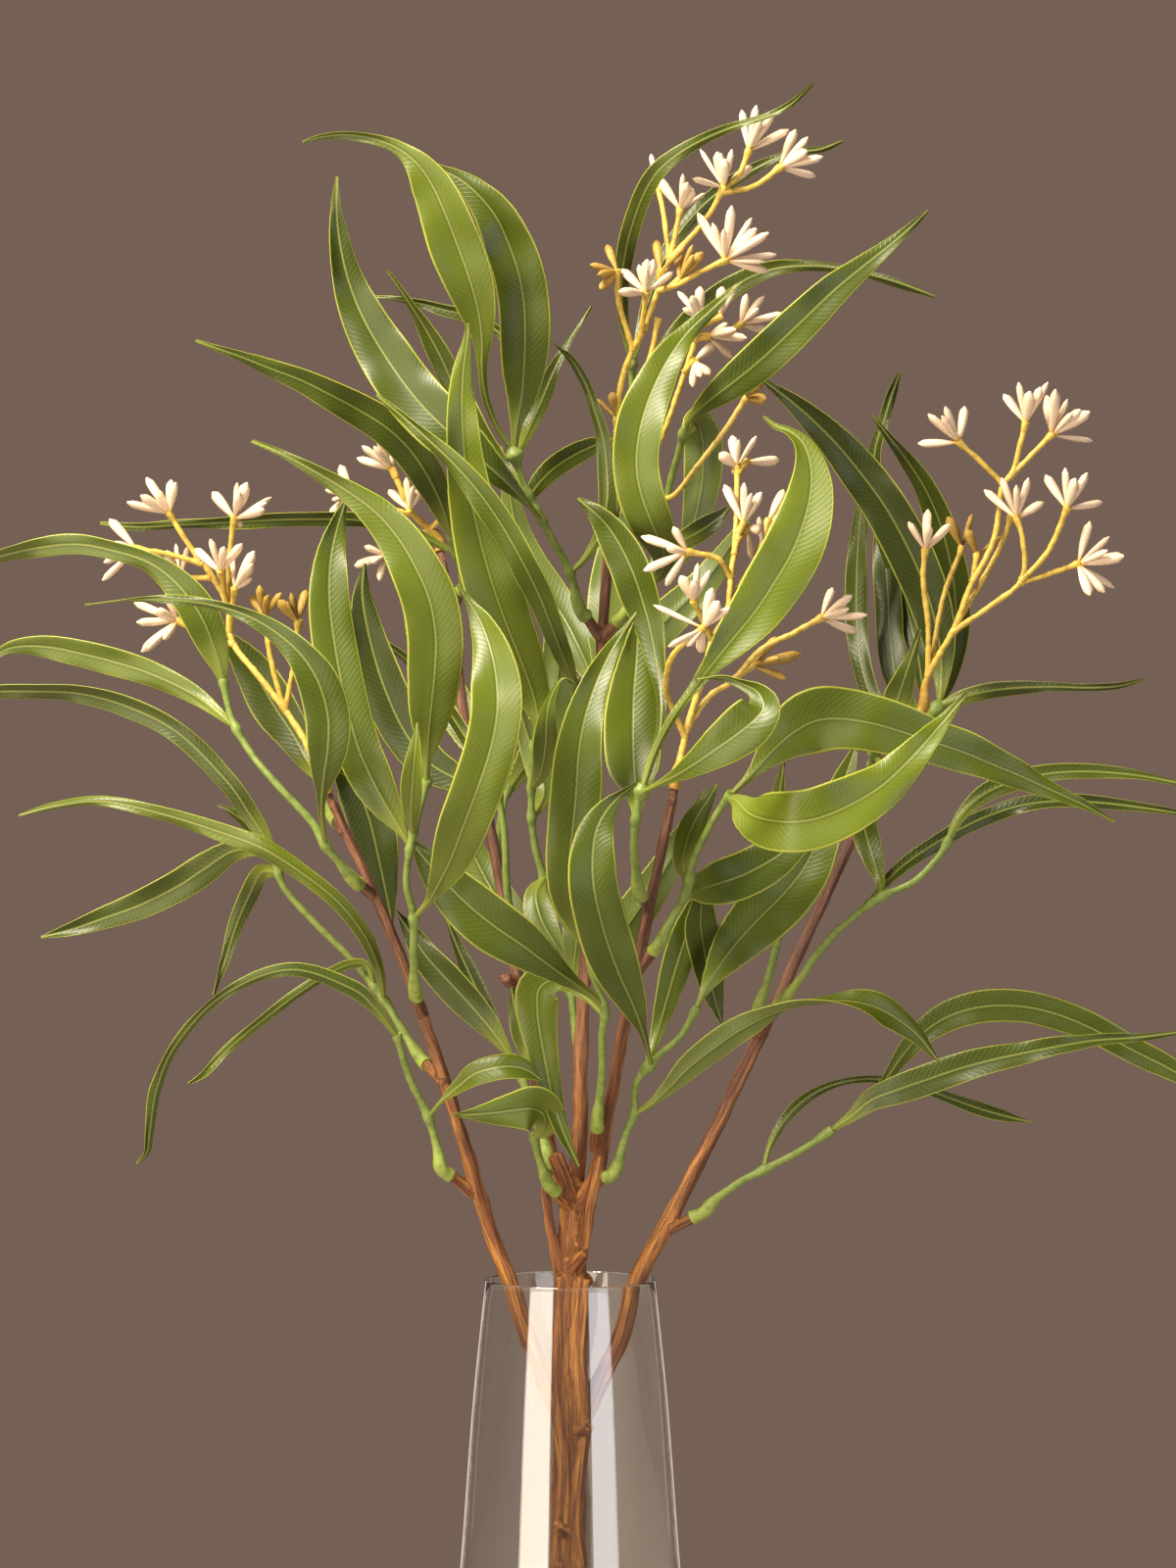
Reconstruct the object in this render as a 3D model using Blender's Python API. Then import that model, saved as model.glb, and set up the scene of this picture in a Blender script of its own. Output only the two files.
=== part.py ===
"""A seeded eucalyptus stem with white buds, standing in a clear glass vase.

The brown branch is one piece. Every green sprig and every yellow bud spray is a piece of its
own that is pushed over a short pin on the branch. The vase is a revolved glass shell.

All lengths are millimetres until a mesh is made. x runs to the right and z up as the front
view shows them, and y is the depth away from the viewer.
"""
import math

import bmesh
import bpy
from mathutils import Vector

MM = 0.001

# The viewer's eye: a point of the layout is moved along its sight line by its depth
EYE = Vector((7.2, -2000.0, 502.0))
# Depths of the layout grow by this factor from the vase's rim up to the crown
DEPTH_SPREAD = 2.1
SPREAD_LOW, SPREAD_HIGH = 300.0, 460.0

# Vase: wall, heavy bottom, and outer radius at each height
VASE_WALL = 2.5
VASE_FLOOR = 14.0
VASE_CORNER = 44.0
VASE_SIDES = 26
VASE_PROFILE = ((0, 43), (4, 47.5), (20, 51), (55, 52), (100, 50.8), (150, 47.8), (200, 44),
                (250, 40.2), (300, 35))

# Joint between the branch and a sprig: a pin on a stub goes into a blind hole in the sleeve
SEAT_GAP = 0.3
PIN_RADIUS = 1.0
PIN_LENGTH = 4.0
BORE_RADIUS = 1.5
BORE_DEPTH = 5.0
STUB_RADIUS = 2.3
STUB_REACH = 13.0
TIP_STUB_RADIUS = 1.7

# Green sleeve and stalk of a sprig
SLEEVE_RADIUS = 2.7
SLEEVE_LENGTH = 10.0
STALK_END_RADIUS = 1.2
STALK_SIDES = 4
STATION_STEP = 32.0

# Leaf: half width of the leaf stalk, blade thickness and the angle of its shallow fold
PETIOLE_HALF = 1.1
PETIOLE_LENGTH = 10.0
RIB_HALF_THICK = 0.42
EDGE_HALF_THICK = 0.32
FOLD_ANGLE = math.radians(11)
LEAF_STEP = 28.0
BLADE_PEAK = 0.324

# Bud spray: stalk radii, bud thickness and how far buds spread in depth
SPRAY_RADIUS = 2.3
ARM_RADIUS = 1.1
ARM_SIDES = 3
KNOB_RADIUS = 1.9
BUD_RADIUS = 1.7
BUD_SIDES = 3
BUD_SPREAD = 5.0

GLASS = ("clear_glass", (0.86, 0.9, 0.9), 0.05, 0.0)
BARK = ("brown_bark", (0.36, 0.16, 0.07), 0.75, 0.0)
LEAF = ("green_leaf", (0.2, 0.31, 0.06), 0.45, 0.0)
BUD = ("cream_buds_yellow_stalks", (0.86, 0.68, 0.38), 0.6, 0.0)


def leaf(width, *points, turn=(0, 0)):
    """One leaf: blade width, points of its midrib from the root, and turns about the midrib."""
    return {"width": width, "points": points, "turn": turn}


def cluster(points, *tips):
    """A bunch of buds: points of its own thin stalk, then the front view's x, z of each tip."""
    return {"points": points, "tips": tips}


# Woody branches: points as x, z, y with the radius there
TRUNK = ((-5, 16.6, 5, 7.6), (-3, 90, 3, 7.5), (-1, 150, 2, 7.3), (-1, 200, 0, 7.2),
         (0, 250, 0, 6.8), (0, 300, 0, 6.3), (2, 337, 0, 5.2))
BRANCH_LEFT = ((-1, 236, -2, 4.2), (-12, 262, -5, 4.1), (-26, 300, -8, 3.9),
               (-35, 325, -10, 3.8), (-48, 370, -14, 3.1), (-64, 417, -17, 2.7),
               (-80, 455, -19, 2.5), (-97, 494, -21, 2.2))
BRANCH_RIGHT = ((0, 232, 1, 4), (12, 258, 2, 3.8), (20, 274, 3, 3.6), (27.6, 300, 3, 3.4),
                (38, 320, 6, 3.5), (50, 343, 11, 3.4), (77, 398, 16, 3),
                (100, 447, 19, 2.6), (120, 490, 21, 2.4), (140, 525, 22, 2.2))
BRANCH_CENTRE = ((3, 331, -1, 4), (8, 343, -5, 3.4), (14, 370, -11, 3), (20, 400, -17, 2.9),
                 (34, 460, -27, 2.6), (42, 496, -32, 2.2))
BRANCH_UPRIGHT = ((1, 331, 1, 4), (4, 360, 4, 3.4), (5, 400, 7, 3.1), (9, 480, 11, 2.8),
                  (13, 562, 13, 2.6), (17, 617, 15, 2.1))
BRANCH_REAR = ((-1, 331, 2, 4), (-8, 350, 10, 3.2), (-15, 390, 18, 3), (-22, 425, 25, 2.8),
               (-33, 485, 35, 2.6), (-41, 515, 40, 2.5), (-52, 592, 49.5, 2.1))
# Short knobs left on the bark where other twigs were cut
KNOBS = (((2, 305, -4), (6, 310, -9)), ((3, 236, -3), (8, 240, -9)), ((-2, 196, -4), (-6, 199, -9)),
         ((3, 297, 0), (15, 301, -1)), ((-22, 420, 24), (-27, 423, 20)))

# Green sprigs: the point on the branch, the stalk from its mouth, and the leaves
SPRIGS = {
    "sprig_left_low": {
        "root": (-40, 335, -11),
        "stalk": ((-50, 343, -16), (-54, 352, -17), (-58, 366, -18), (-66, 383, -21),
                  (-71, 400, -24)),
        "leaves": (
            leaf(16, (-71, 399, -24), (-80, 412, -27), (-90, 420, -28), (-115, 427, -28),
                 (-145, 415, -24), (-163, 394, -18), (-172, 368, -12), (-177, 347, -8),
                 turn=(70, 76, 76)),
            leaf(13, (-58, 366, -18), (-50, 374, -24), (-38, 383, -27), (-28, 386, -27),
                 (-14, 382, -26), turn=(20, 30)))},
    "sprig_left_long": {
        "root": (-52, 381, -15),
        "stalk": ((-60, 389, -7), (-70, 404, -4), (-76, 414, -2), (-90, 431, 0),
                  (-104, 445, 0), (-117, 460, 0), (-122, 477, 0)),
        "leaves": (
            leaf(14, (-121, 474, 0), (-124, 485, 0), (-130, 495, 0), (-145, 510, 0),
                 (-160, 522, 2), (-200, 539, 6), (-233, 541, 8), (-245, 541, 8), turn=(10, 20)),
            leaf(13, (-76, 414, -2), (-80, 430, -10), (-90, 448, -16), (-120, 474, -18),
                 (-160, 490, -14), (-200, 496, -10), (-225, 489, -8), turn=(0, 10)),
            leaf(18, (-120, 470, 0), (-132, 474, 4), (-160, 461, 10), (-180, 450, 12),
                 (-200, 445, 12), (-215, 439.5, 12), turn=(0, 0)),
            leaf(13, (-119, 466, 0), (-126, 462, 6), (-135, 445, 10), (-142, 428, 10),
                 (-146, 417, 10), turn=(40, 50)),
            leaf(11, (-80, 419, -1), (-88, 430, -2), (-100, 422, -4), (-125, 405, -6),
                 (-150, 383, -6), (-158, 380, -6), turn=(50, 60)))},
    "sprig_left_front": {
        "root": (-61, 409, -17),
        "stalk": ((-64, 420, -27), (-64, 432, -31), (-64, 448, -34), (-67, 462, -36),
                  (-65, 478, -38), (-62, 490, -38), (-58, 505, -38)),
        "leaves": (
            leaf(21, (-64, 447, -34), (-57, 458, -40), (-46, 485, -50), (-38, 505, -54),
                 (-33, 525, -54), (-31, 545, -52), (-35, 562, -50), (-46, 584, -46),
                 turn=(0, 10)),
            leaf(17, (-65, 476, -38), (-71, 487, -38), (-80, 505, -36), (-86, 525, -34),
                 (-97, 565, -30), (-99, 585, -28), (-90, 620, -24), turn=(10, -10)),
            leaf(9, (-65, 478, -38), (-67, 490, -45), (-66, 505, -50), (-62, 528, -52),
                 turn=(20, 30)),
            leaf(23, (-59, 502, -38), (-58, 512, -40), (-57, 530, -44), (-56, 548, -46),
                 (-58, 570, -48), (-66, 592, -48), (-100, 628, -44), (-130, 642, -42),
                 turn=(0, 10)))},
    "sprig_left_outer": {
        "root": (-81, 457, -19),
        "stalk": ((-90, 464, -28), (-100, 477, -31), (-106, 487, -31), (-120, 502, -31),
                  (-130, 514, -29), (-138, 528, -27), (-142, 545, -26)),
        "leaves": (
            leaf(19, (-100, 477, -31), (-102, 488, -37), (-100, 502, -42), (-98, 520, -45),
                 (-105, 550, -46), (-120, 567, -46), (-140, 575, -45), (-165, 578, -43),
                 (-198, 575, -38), turn=(0, 30)),
            leaf(14, (-136, 524, -28), (-150, 537, -24), (-170, 548, -20), (-200, 556, -16),
                 (-225, 560, -14), (-236, 553, -12), turn=(0, 20)),
            leaf(19, (-142, 543, -26), (-143, 553, -27), (-147, 567, -29), (-155, 582, -29),
                 (-170, 593, -27), (-200, 600, -23), (-233, 594, -18), (-248, 588, -16),
                 turn=(0, 30)))},
    "sprig_left_back": {
        "root": (-92, 482, -20),
        "stalk": ((-98, 490, -9), (-101, 496, -2), (-102, 504, 5)),
        "leaves": (
            leaf(20, (-102, 502, 4), (-106, 511, 10), (-120, 532, 14), (-133, 547, 16),
                 (-141, 555, 16), turn=(10, 0)),
            leaf(16, (-102, 501, 3), (-97, 508, 10), (-91, 500, 14), (-84, 482, 14),
                 (-77, 460, 12), (-73, 444, 12), turn=(0, 20)))},
    "sprig_crown_left": {
        "root": (13, 561, 13),
        "stalk": ((5, 572, 9), (0, 588, 5), (-8, 603, 2), (-17, 620, 0), (-24, 640, -2)),
        "leaves": (
            leaf(22, (-23, 637, -2), (-33, 650, -4), (-37, 662, -7), (-36, 690, -12),
                 (-43, 712, -16), (-50, 732, -18), (-62, 756, -18), (-85, 767, -16),
                 (-109, 764, -12), turn=(10, 20)),
            leaf(23, (-23, 637, -2), (-21, 652, -2), (-20, 670, -4), (-20, 690, -6),
                 (-24, 710, -7), (-31, 730, -8), (-58, 757, -6), turn=(-10, 10)),
            leaf(24, (-12, 609, 1), (-18, 617, -3), (-30, 628, -6), (-55, 651, -6),
                 (-70, 670, -2), (-84, 692, 1), (-93, 720, 1), (-95, 749, 0), turn=(10, -10)),
            leaf(12, (-17, 620, 0), (-26, 630, 8), (-40, 648, 12), (-50, 666, 14),
                 (-62, 690, 14), (-75, 711, 12), turn=(30, 40)),
            leaf(10, (-23, 636, -2), (-20, 655, 9), (-25, 683, 13), (-45, 694, 14),
                 (-60, 697, 15), (-80, 699, 16), turn=(30, 60)),
            leaf(10, (-23, 636, -2), (-17, 647, 4), (-12, 658, 6), (-8, 672, 8), (8, 697, 12),
                 turn=(20, 50)),
            leaf(10, (0, 588, 5), (5, 594, 3), (10, 602, 2), (13, 618, 2), (13, 635, 3),
                 (10, 650, 4), (4, 668, 4), (-8, 682, 4), turn=(40, 60)),
            leaf(11, (-15, 616, 0), (-10, 626, 14), (-2, 634, 20), (7, 640, 24), (16, 643, 25),
                 turn=(0, 0)))},
    "sprig_crown_right": {
        "root": (13, 561, 13),
        "stalk": ((22, 571, 7), (30, 582, 6), (36, 600, 9), (40, 622, 11), (45, 640, 6),
                  (47, 648, 2)),
        "leaves": (
            leaf(19, (46, 645, 3), (53, 656, -2), (70, 668, -6), (90, 685, -8), (110, 705, -8),
                 (130, 722, -6), (146, 736, -4), turn=(-10, 10)),
            leaf(18, (30, 582, 6), (38, 586, -3), (38, 596, -10), (32, 608, -13),
                 (27, 630, -14), (30, 652, -13), (38, 672, -11), (50, 688, -9),
                 (70, 705, -6), turn=(0, 20)),
            leaf(15, (46, 644, 4), (53, 647, 10), (56, 634, 14), (54, 615, 15), (50, 598, 15),
                 turn=(0, 0)),
            leaf(10, (35, 597, 8), (45, 600, 6), (55, 604, 5), (66, 615, 5), turn=(0, 10)))},
    "sprig_crown_top": {
        "root": (16, 606, 15),
        "stalk": ((18, 616, 25), (23, 632, 29), (25, 655, 30), (25, 676, 28)),
        "leaves": (
            leaf(15, (25, 674, 28), (23, 690, 24), (21, 712, 19), (24, 727, 13), (30, 742, 7),
                 (38, 753, 3), (50, 763, 1), (70, 772, -1), (99, 788, -3), turn=(40, 45)),
            leaf(10, (25, 672, 28), (32, 700, 34), (40, 720, 37), (50, 738, 39),
                 (66, 750, 40), (85, 759, 40), (111, 764, 40), turn=(40, 50)),
            leaf(13, (25, 654, 30), (30, 668, 33), (38, 681, 35), (50, 695, 35), (70, 708, 34),
                 (90, 713, 33), (130, 708, 29), (149, 701, 26), turn=(30, 50)))},
    "sprig_middle_left": {
        "root": (7, 437, 9),
        "stalk": ((-2, 447, 3), (-10, 462, 0), (-15, 480, -2), (-16, 500, -4), (-15, 520, -6)),
        "leaves": (
            leaf(21, (-15, 517, -6), (-13, 530, -8), (-16, 546, -10), (-23, 562, -12),
                 (-32, 585, -15), (-40, 612, -17), (-43, 640, -19), (-41, 687, -20),
                 turn=(10, -10)),
            leaf(14, (-16, 500, -4), (-9, 506, -11), (-9, 518, -15), (-8, 532, -18),
                 (1, 546, -20), turn=(0, 30)),
            leaf(12, (-15, 488, -3), (-11, 498, 4), (-14, 513, 7), (-20, 532, 8),
                 turn=(0, 10)),
            leaf(14, (-10, 462, 0), (-15, 456, -7), (-12, 446, -11), (-4, 433, -13),
                 turn=(0, 0)))},
    "sprig_middle_band": {
        "root": (10, 518, 12),
        "stalk": ((4, 526, 3), (2, 534, -4), (2, 545, -12)),
        "leaves": (
            leaf(14, (2, 543, -11), (-3, 556, -19), (-12, 582, -25), (-22, 604, -27),
                 (-35, 624, -27), (-50, 640, -25), (-78, 660, -21), turn=(20, 20)),)},
    "sprig_rear_upper": {
        "root": (-49, 572, 47),
        "stalk": ((-44, 582, 42), (-45, 592, 37), (-49, 604, 31)),
        "leaves": (
            leaf(15, (-48, 602, 32), (-52, 613, 27), (-57, 631, 21), (-66, 643, 18),
                 (-80, 653, 16), (-100, 664, 14), (-120, 672, 12), (-153, 682, 10),
                 turn=(0, 10)),
            leaf(13, (-46, 595, 35), (-58, 599, 34), (-70, 603, 33), (-88, 609, 31),
                 (-110, 611, 30), (-140, 609, 28), (-192, 609, 24), turn=(50, 65)))},
    "sprig_rear_middle": {
        "root": (-23.5, 434, 26.5),
        "stalk": ((-24, 443, 16), (-26, 462, 13), (-27, 482, 12), (-30, 500, 12)),
        "leaves": (
            leaf(18, (-29, 497, 12), (-44, 503, 14), (-58, 510, 16), (-70, 528, 18),
                 (-80, 550, 20), (-85, 570, 20), (-84, 590, 20), turn=(0, 10)),)},
    "sprig_fork_left": {
        "root": (0, 335, 0),
        "stalk": ((-9, 350, -2), (-14, 365, 4), (-19, 380, 8), (-24, 391, 10)),
        "leaves": (
            leaf(15, (-23, 390, 10), (-35, 406, 12), (-48, 420, 14), (-62, 435, 16),
                 (-70, 449, 17), turn=(20, 25)),
            leaf(10, (-23, 389, 10), (-31, 402, 18), (-40, 415, 22), (-50, 445, 24),
                 turn=(30, 40)))},
    "sprig_fork_front": {
        "root": (1, 328, -1),
        "stalk": ((-9, 339, -10), (-13, 350, -14), (-15, 359, -16)),
        "leaves": (
            leaf(19, (-15, 358, -16), (-9, 364, -24), (-16, 369, -30), (-30, 370, -33),
                 (-47, 366, -36), turn=(0, 10)),)},
    "sprig_centre_left": {
        "root": (10, 353, -7),
        "stalk": ((11, 365, -16), (13, 385, -21), (13, 400, -24), (14, 410, -25),
                  (9, 424, -27), (7, 435, -28)),
        "leaves": (
            leaf(22, (13, 412, -25), (3, 423, -30), (-15, 433, -34), (-35, 447, -34),
                 (-52, 463, -31), (-66, 478, -26), turn=(0, 10)),
            leaf(15, (13.5, 407, -25), (3, 418, -21), (-8, 420, -19), (-13, 410, -20),
                 (-11, 396, -22), (-7, 380, -24), (3, 346, -25), turn=(0, -10)),
            leaf(21, (7, 434, -28), (2, 448, -32), (-2, 465, -35), (1, 495, -37),
                 (6, 518, -36), (15, 545, -33), (26, 571, -28), turn=(0, 10)))},
    "sprig_centre_right": {
        "root": (5, 335, -2),
        "stalk": ((16.5, 343, -8), (22, 357, -9), (26, 368, -9), (27, 380, -11), (36, 391, -13),
                  (45, 399, -15), (52, 411, -16)),
        "leaves": (
            leaf(15, (26, 367, -9), (36, 374, -14), (48, 384, -17), (62, 394, -19),
                 (80, 405, -21), (100, 412, -22), (120, 411, -22), (137, 401, -20),
                 (149, 389, -18), turn=(10, 30, 60, 150, 150)),
            leaf(20, (33, 388, -12), (30, 398, -30), (24, 412, -41), (15, 440, -47),
                 (11, 462, -49), (13, 482, -48), (26, 501, -45), turn=(0, 0)),
            leaf(24, (51, 409, -16), (60, 424, -13), (68, 438, -9), (79, 450, -7),
                 (92, 463, -6), (105, 480, -4), (117, 519, 0), turn=(0, 10)),
            leaf(12, (31, 386, -12), (34, 400, -8), (39, 420, -6), (44, 440, -5),
                 (47, 470, -4), turn=(0, 0)))},
    "sprig_centre_fan": {
        "root": (27, 425, -21.5),
        "stalk": ((37, 438, -26), (42, 448, -25), (47, 457, -25), (50, 470, -26),
                  (56, 483, -28), (62, 493, -30), (66, 498, -32)),
        "leaves": (
            leaf(22, (65, 496, -31), (70, 492, -39), (80, 487, -46), (96, 487, -50),
                 (120, 497, -50), (145, 518, -46), (162, 538, -42), turn=(0, 10)),
            leaf(24, (66, 498, -32), (74, 508, -28), (84, 516, -26), (103, 525, -27),
                 (125, 527, -28), (147, 522, -26), (170, 512, -22), (221, 487, -14),
                 turn=(0, 20)),
            leaf(18, (47, 457, -25), (57, 461, -19), (70, 466, -16), (85, 474, -15),
                 (104, 490, -14), turn=(0, 10)),
            leaf(12, (49, 466, -26), (49, 478, -20), (52, 488, -18), (60, 501, -16),
                 turn=(0, 10)),
            leaf(15, (50, 468, -26), (57, 462, -12), (57, 447, -6), (57, 430, -4),
                 (62, 403, -2), turn=(10, 20)))},
    "sprig_centre_front": {
        "root": (32, 451, -25.5),
        "stalk": ((27, 460, -34), (26, 475, -37), (27, 490, -39), (30, 502, -40)),
        "leaves": (
            leaf(21, (29, 498, -40), (38, 503, -45), (50, 509, -49), (62, 517, -53),
                 (72, 527, -55), (76, 537, -52), (69, 545, -48), (43, 542, -47),
                 turn=(0, 0, 30, 70)),
            leaf(24, (29.5, 500, -40), (36, 520, -40), (44, 532, -41), (54, 543, -40),
                 (64, 557, -38), (76, 574, -37), (90, 595, -35), (98, 618, -33),
                 (92, 642, -31), (79, 651, -28), turn=(0, 0)),
            leaf(22, (27, 488, -39), (28, 500, -30), (27, 520, -24), (26, 540, -20),
                 (27, 572, -17), turn=(0, 0)),
            leaf(18, (29, 499, -40), (36, 516, -32), (38, 534, -25), (37, 552, -20),
                 (32, 575, -17), (24, 597, -16), (3, 618, -14), turn=(0, 20)))},
    "sprig_right_tip_front": {
        "root": (126, 500, 21),
        "stalk": ((123, 509, 12), (124, 516, 6), (127, 523, 2)),
        "leaves": (
            leaf(12, (126, 521, 3), (131, 533, 0), (138, 548, -2), (143, 564, -4),
                 turn=(0, 20)),
            leaf(9, (124, 515, 7), (132, 507, 4), (140, 508, 2), (148, 513, 0),
                 turn=(10, 20)))},
    "sprig_right_tip": {
        "root": (134, 514, 21.5),
        "stalk": ((139, 519, 32), (145, 527, 37), (151, 535, 40)),
        "leaves": (
            leaf(20, (151, 534, 40), (152, 546, 42), (148, 570, 43), (142, 590, 43),
                 (132, 608, 43), (115, 628, 43), (98, 647, 41), (70, 672, 38),
                 turn=(10, 0)),
            leaf(16, (149, 532, 39), (153, 546, 49), (154, 568, 54), (151, 592, 55),
                 (146, 614, 54), (124, 650, 50), turn=(20, 25)),
            leaf(12, (146, 528, 37.5), (140, 560, 58), (129, 600, 63), (123, 628, 64),
                 (129, 650, 64), (134, 669, 63), turn=(40, 50)),
            leaf(14, (144, 526, 36), (131, 528, 41), (123, 541, 45), (119, 560, 51),
                 (117, 585, 54), (121, 622, 56), turn=(40, 50)),
            leaf(14, (147, 529, 38), (137, 534, 45), (131, 546, 52), (129, 565, 59),
                 (127, 585, 62), (126, 618, 70), turn=(20, 30)),
            leaf(12, (150, 533, 39.5), (163, 536, 38), (180, 540, 36), (205, 542, 34),
                 (234, 544, 30), turn=(40, 65)))},
    "sprig_right_long": {
        "root": (80, 405, 16.5),
        "stalk": ((88, 415, 7), (95, 424, 4), (101, 433, 3), (110, 443, 2), (125, 455, 2),
                  (140, 462, 2), (150, 472, 2), (155, 480, 2)),
        "leaves": (
            leaf(16, (154, 478, 2), (160, 490, 2), (175, 503, 2), (200, 507, 2), (225, 506, 2),
                 (255, 500, 2), turn=(40, 66, 66)),
            leaf(14, (122, 453, 2), (126, 462, 8), (138, 473, 13), (165, 487, 15),
                 (200, 496, 15), (225, 495, 15), (255, 490, 14), turn=(40, 50)),
            leaf(12, (127, 456, 2), (123, 467, 8), (119, 482, 10), (120, 499, 10),
                 turn=(0, 0)))},
    "sprig_right_inner": {
        "root": (77, 399, 16),
        "stalk": ((77, 411, 7), (81, 424, 4), (85, 440, 3), (86, 455, 3)),
        "leaves": (
            leaf(13, (86, 453, 3), (84, 470, 5), (85, 492, 5), (88, 515, 4), turn=(20, 30)),)},
    "sprig_right_low": {
        "root": (38, 319, 6),
        "stalk": ((50, 325, 4), (60, 333, 3), (70, 340, 2), (80, 345, 1), (95, 353, 0),
                  (107, 361, -1)),
        "leaves": (
            leaf(15, (106, 360, -1), (116, 367, -4), (130, 375, -7), (150, 382, -8),
                 (180, 390, -8), (215, 397, -7), (252, 402, -4), turn=(10, 20)),
            leaf(16, (104, 359, -1), (119, 369, 6), (129, 379, 9), (142, 398, 9),
                 (160, 408, 8), (182, 411, 8), (220, 401, 8), (275, 368, 8), turn=(10, 20)),
            leaf(13, (79, 344.5, 1), (81, 356, 5), (88, 368, 8), (105, 380, 12),
                 (131, 381, 18), (153, 377, 20), (187, 364, 20),
                 turn=(70, 70, 60, 10)))},
    "sprig_rear_low": {
        "root": (4, 376, 5.5),
        "stalk": ((4, 385, 16), (2, 400, 28), (0, 420, 40)),
        "leaves": (
            leaf(18, (0, 418, 39), (-20, 440, 52), (-38, 470, 58), (-50, 502, 60),
                 turn=(170, 190)),
            leaf(18, (0, 417, 38), (20, 440, 56), (40, 470, 62), (55, 500, 62),
                 turn=(170, 180)),
            leaf(16, (0, 419, 39), (4, 450, 52), (8, 490, 57), (10, 530, 56),
                 turn=(190, 180)))},
    "sprig_rear_high": {
        "root": (9.5, 499, 11.5),
        "stalk": ((10, 508, 22), (12, 522, 34), (12, 540, 44)),
        "leaves": (
            leaf(18, (12, 538, 43), (0, 565, 56), (-20, 600, 62), (-28, 640, 60),
                 turn=(170, 190)),
            leaf(18, (12, 537, 42), (30, 560, 56), (55, 585, 62), (75, 615, 60),
                 turn=(190, 180)),
            leaf(16, (12, 539, 43), (14, 575, 60), (20, 610, 66), (26, 645, 64),
                 turn=(180, 180)))},
    "sprig_rear_left": {
        "root": (-30, 469, 32.5),
        "stalk": ((-30, 477, 43), (-28, 490, 54), (-26, 500, 62)),
        "leaves": (
            leaf(18, (-26, 499, 61), (-45, 530, 76), (-60, 560, 80), (-68, 595, 76),
                 turn=(180, 170)),
            leaf(18, (-26, 498, 60), (-10, 525, 76), (-5, 560, 80), (-15, 600, 78),
                 turn=(170, 180)),
            leaf(18, (-26, 500, 62), (-28, 540, 84), (-35, 580, 88), (-38, 625, 84),
                 turn=(190, 180)))},
}

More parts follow.
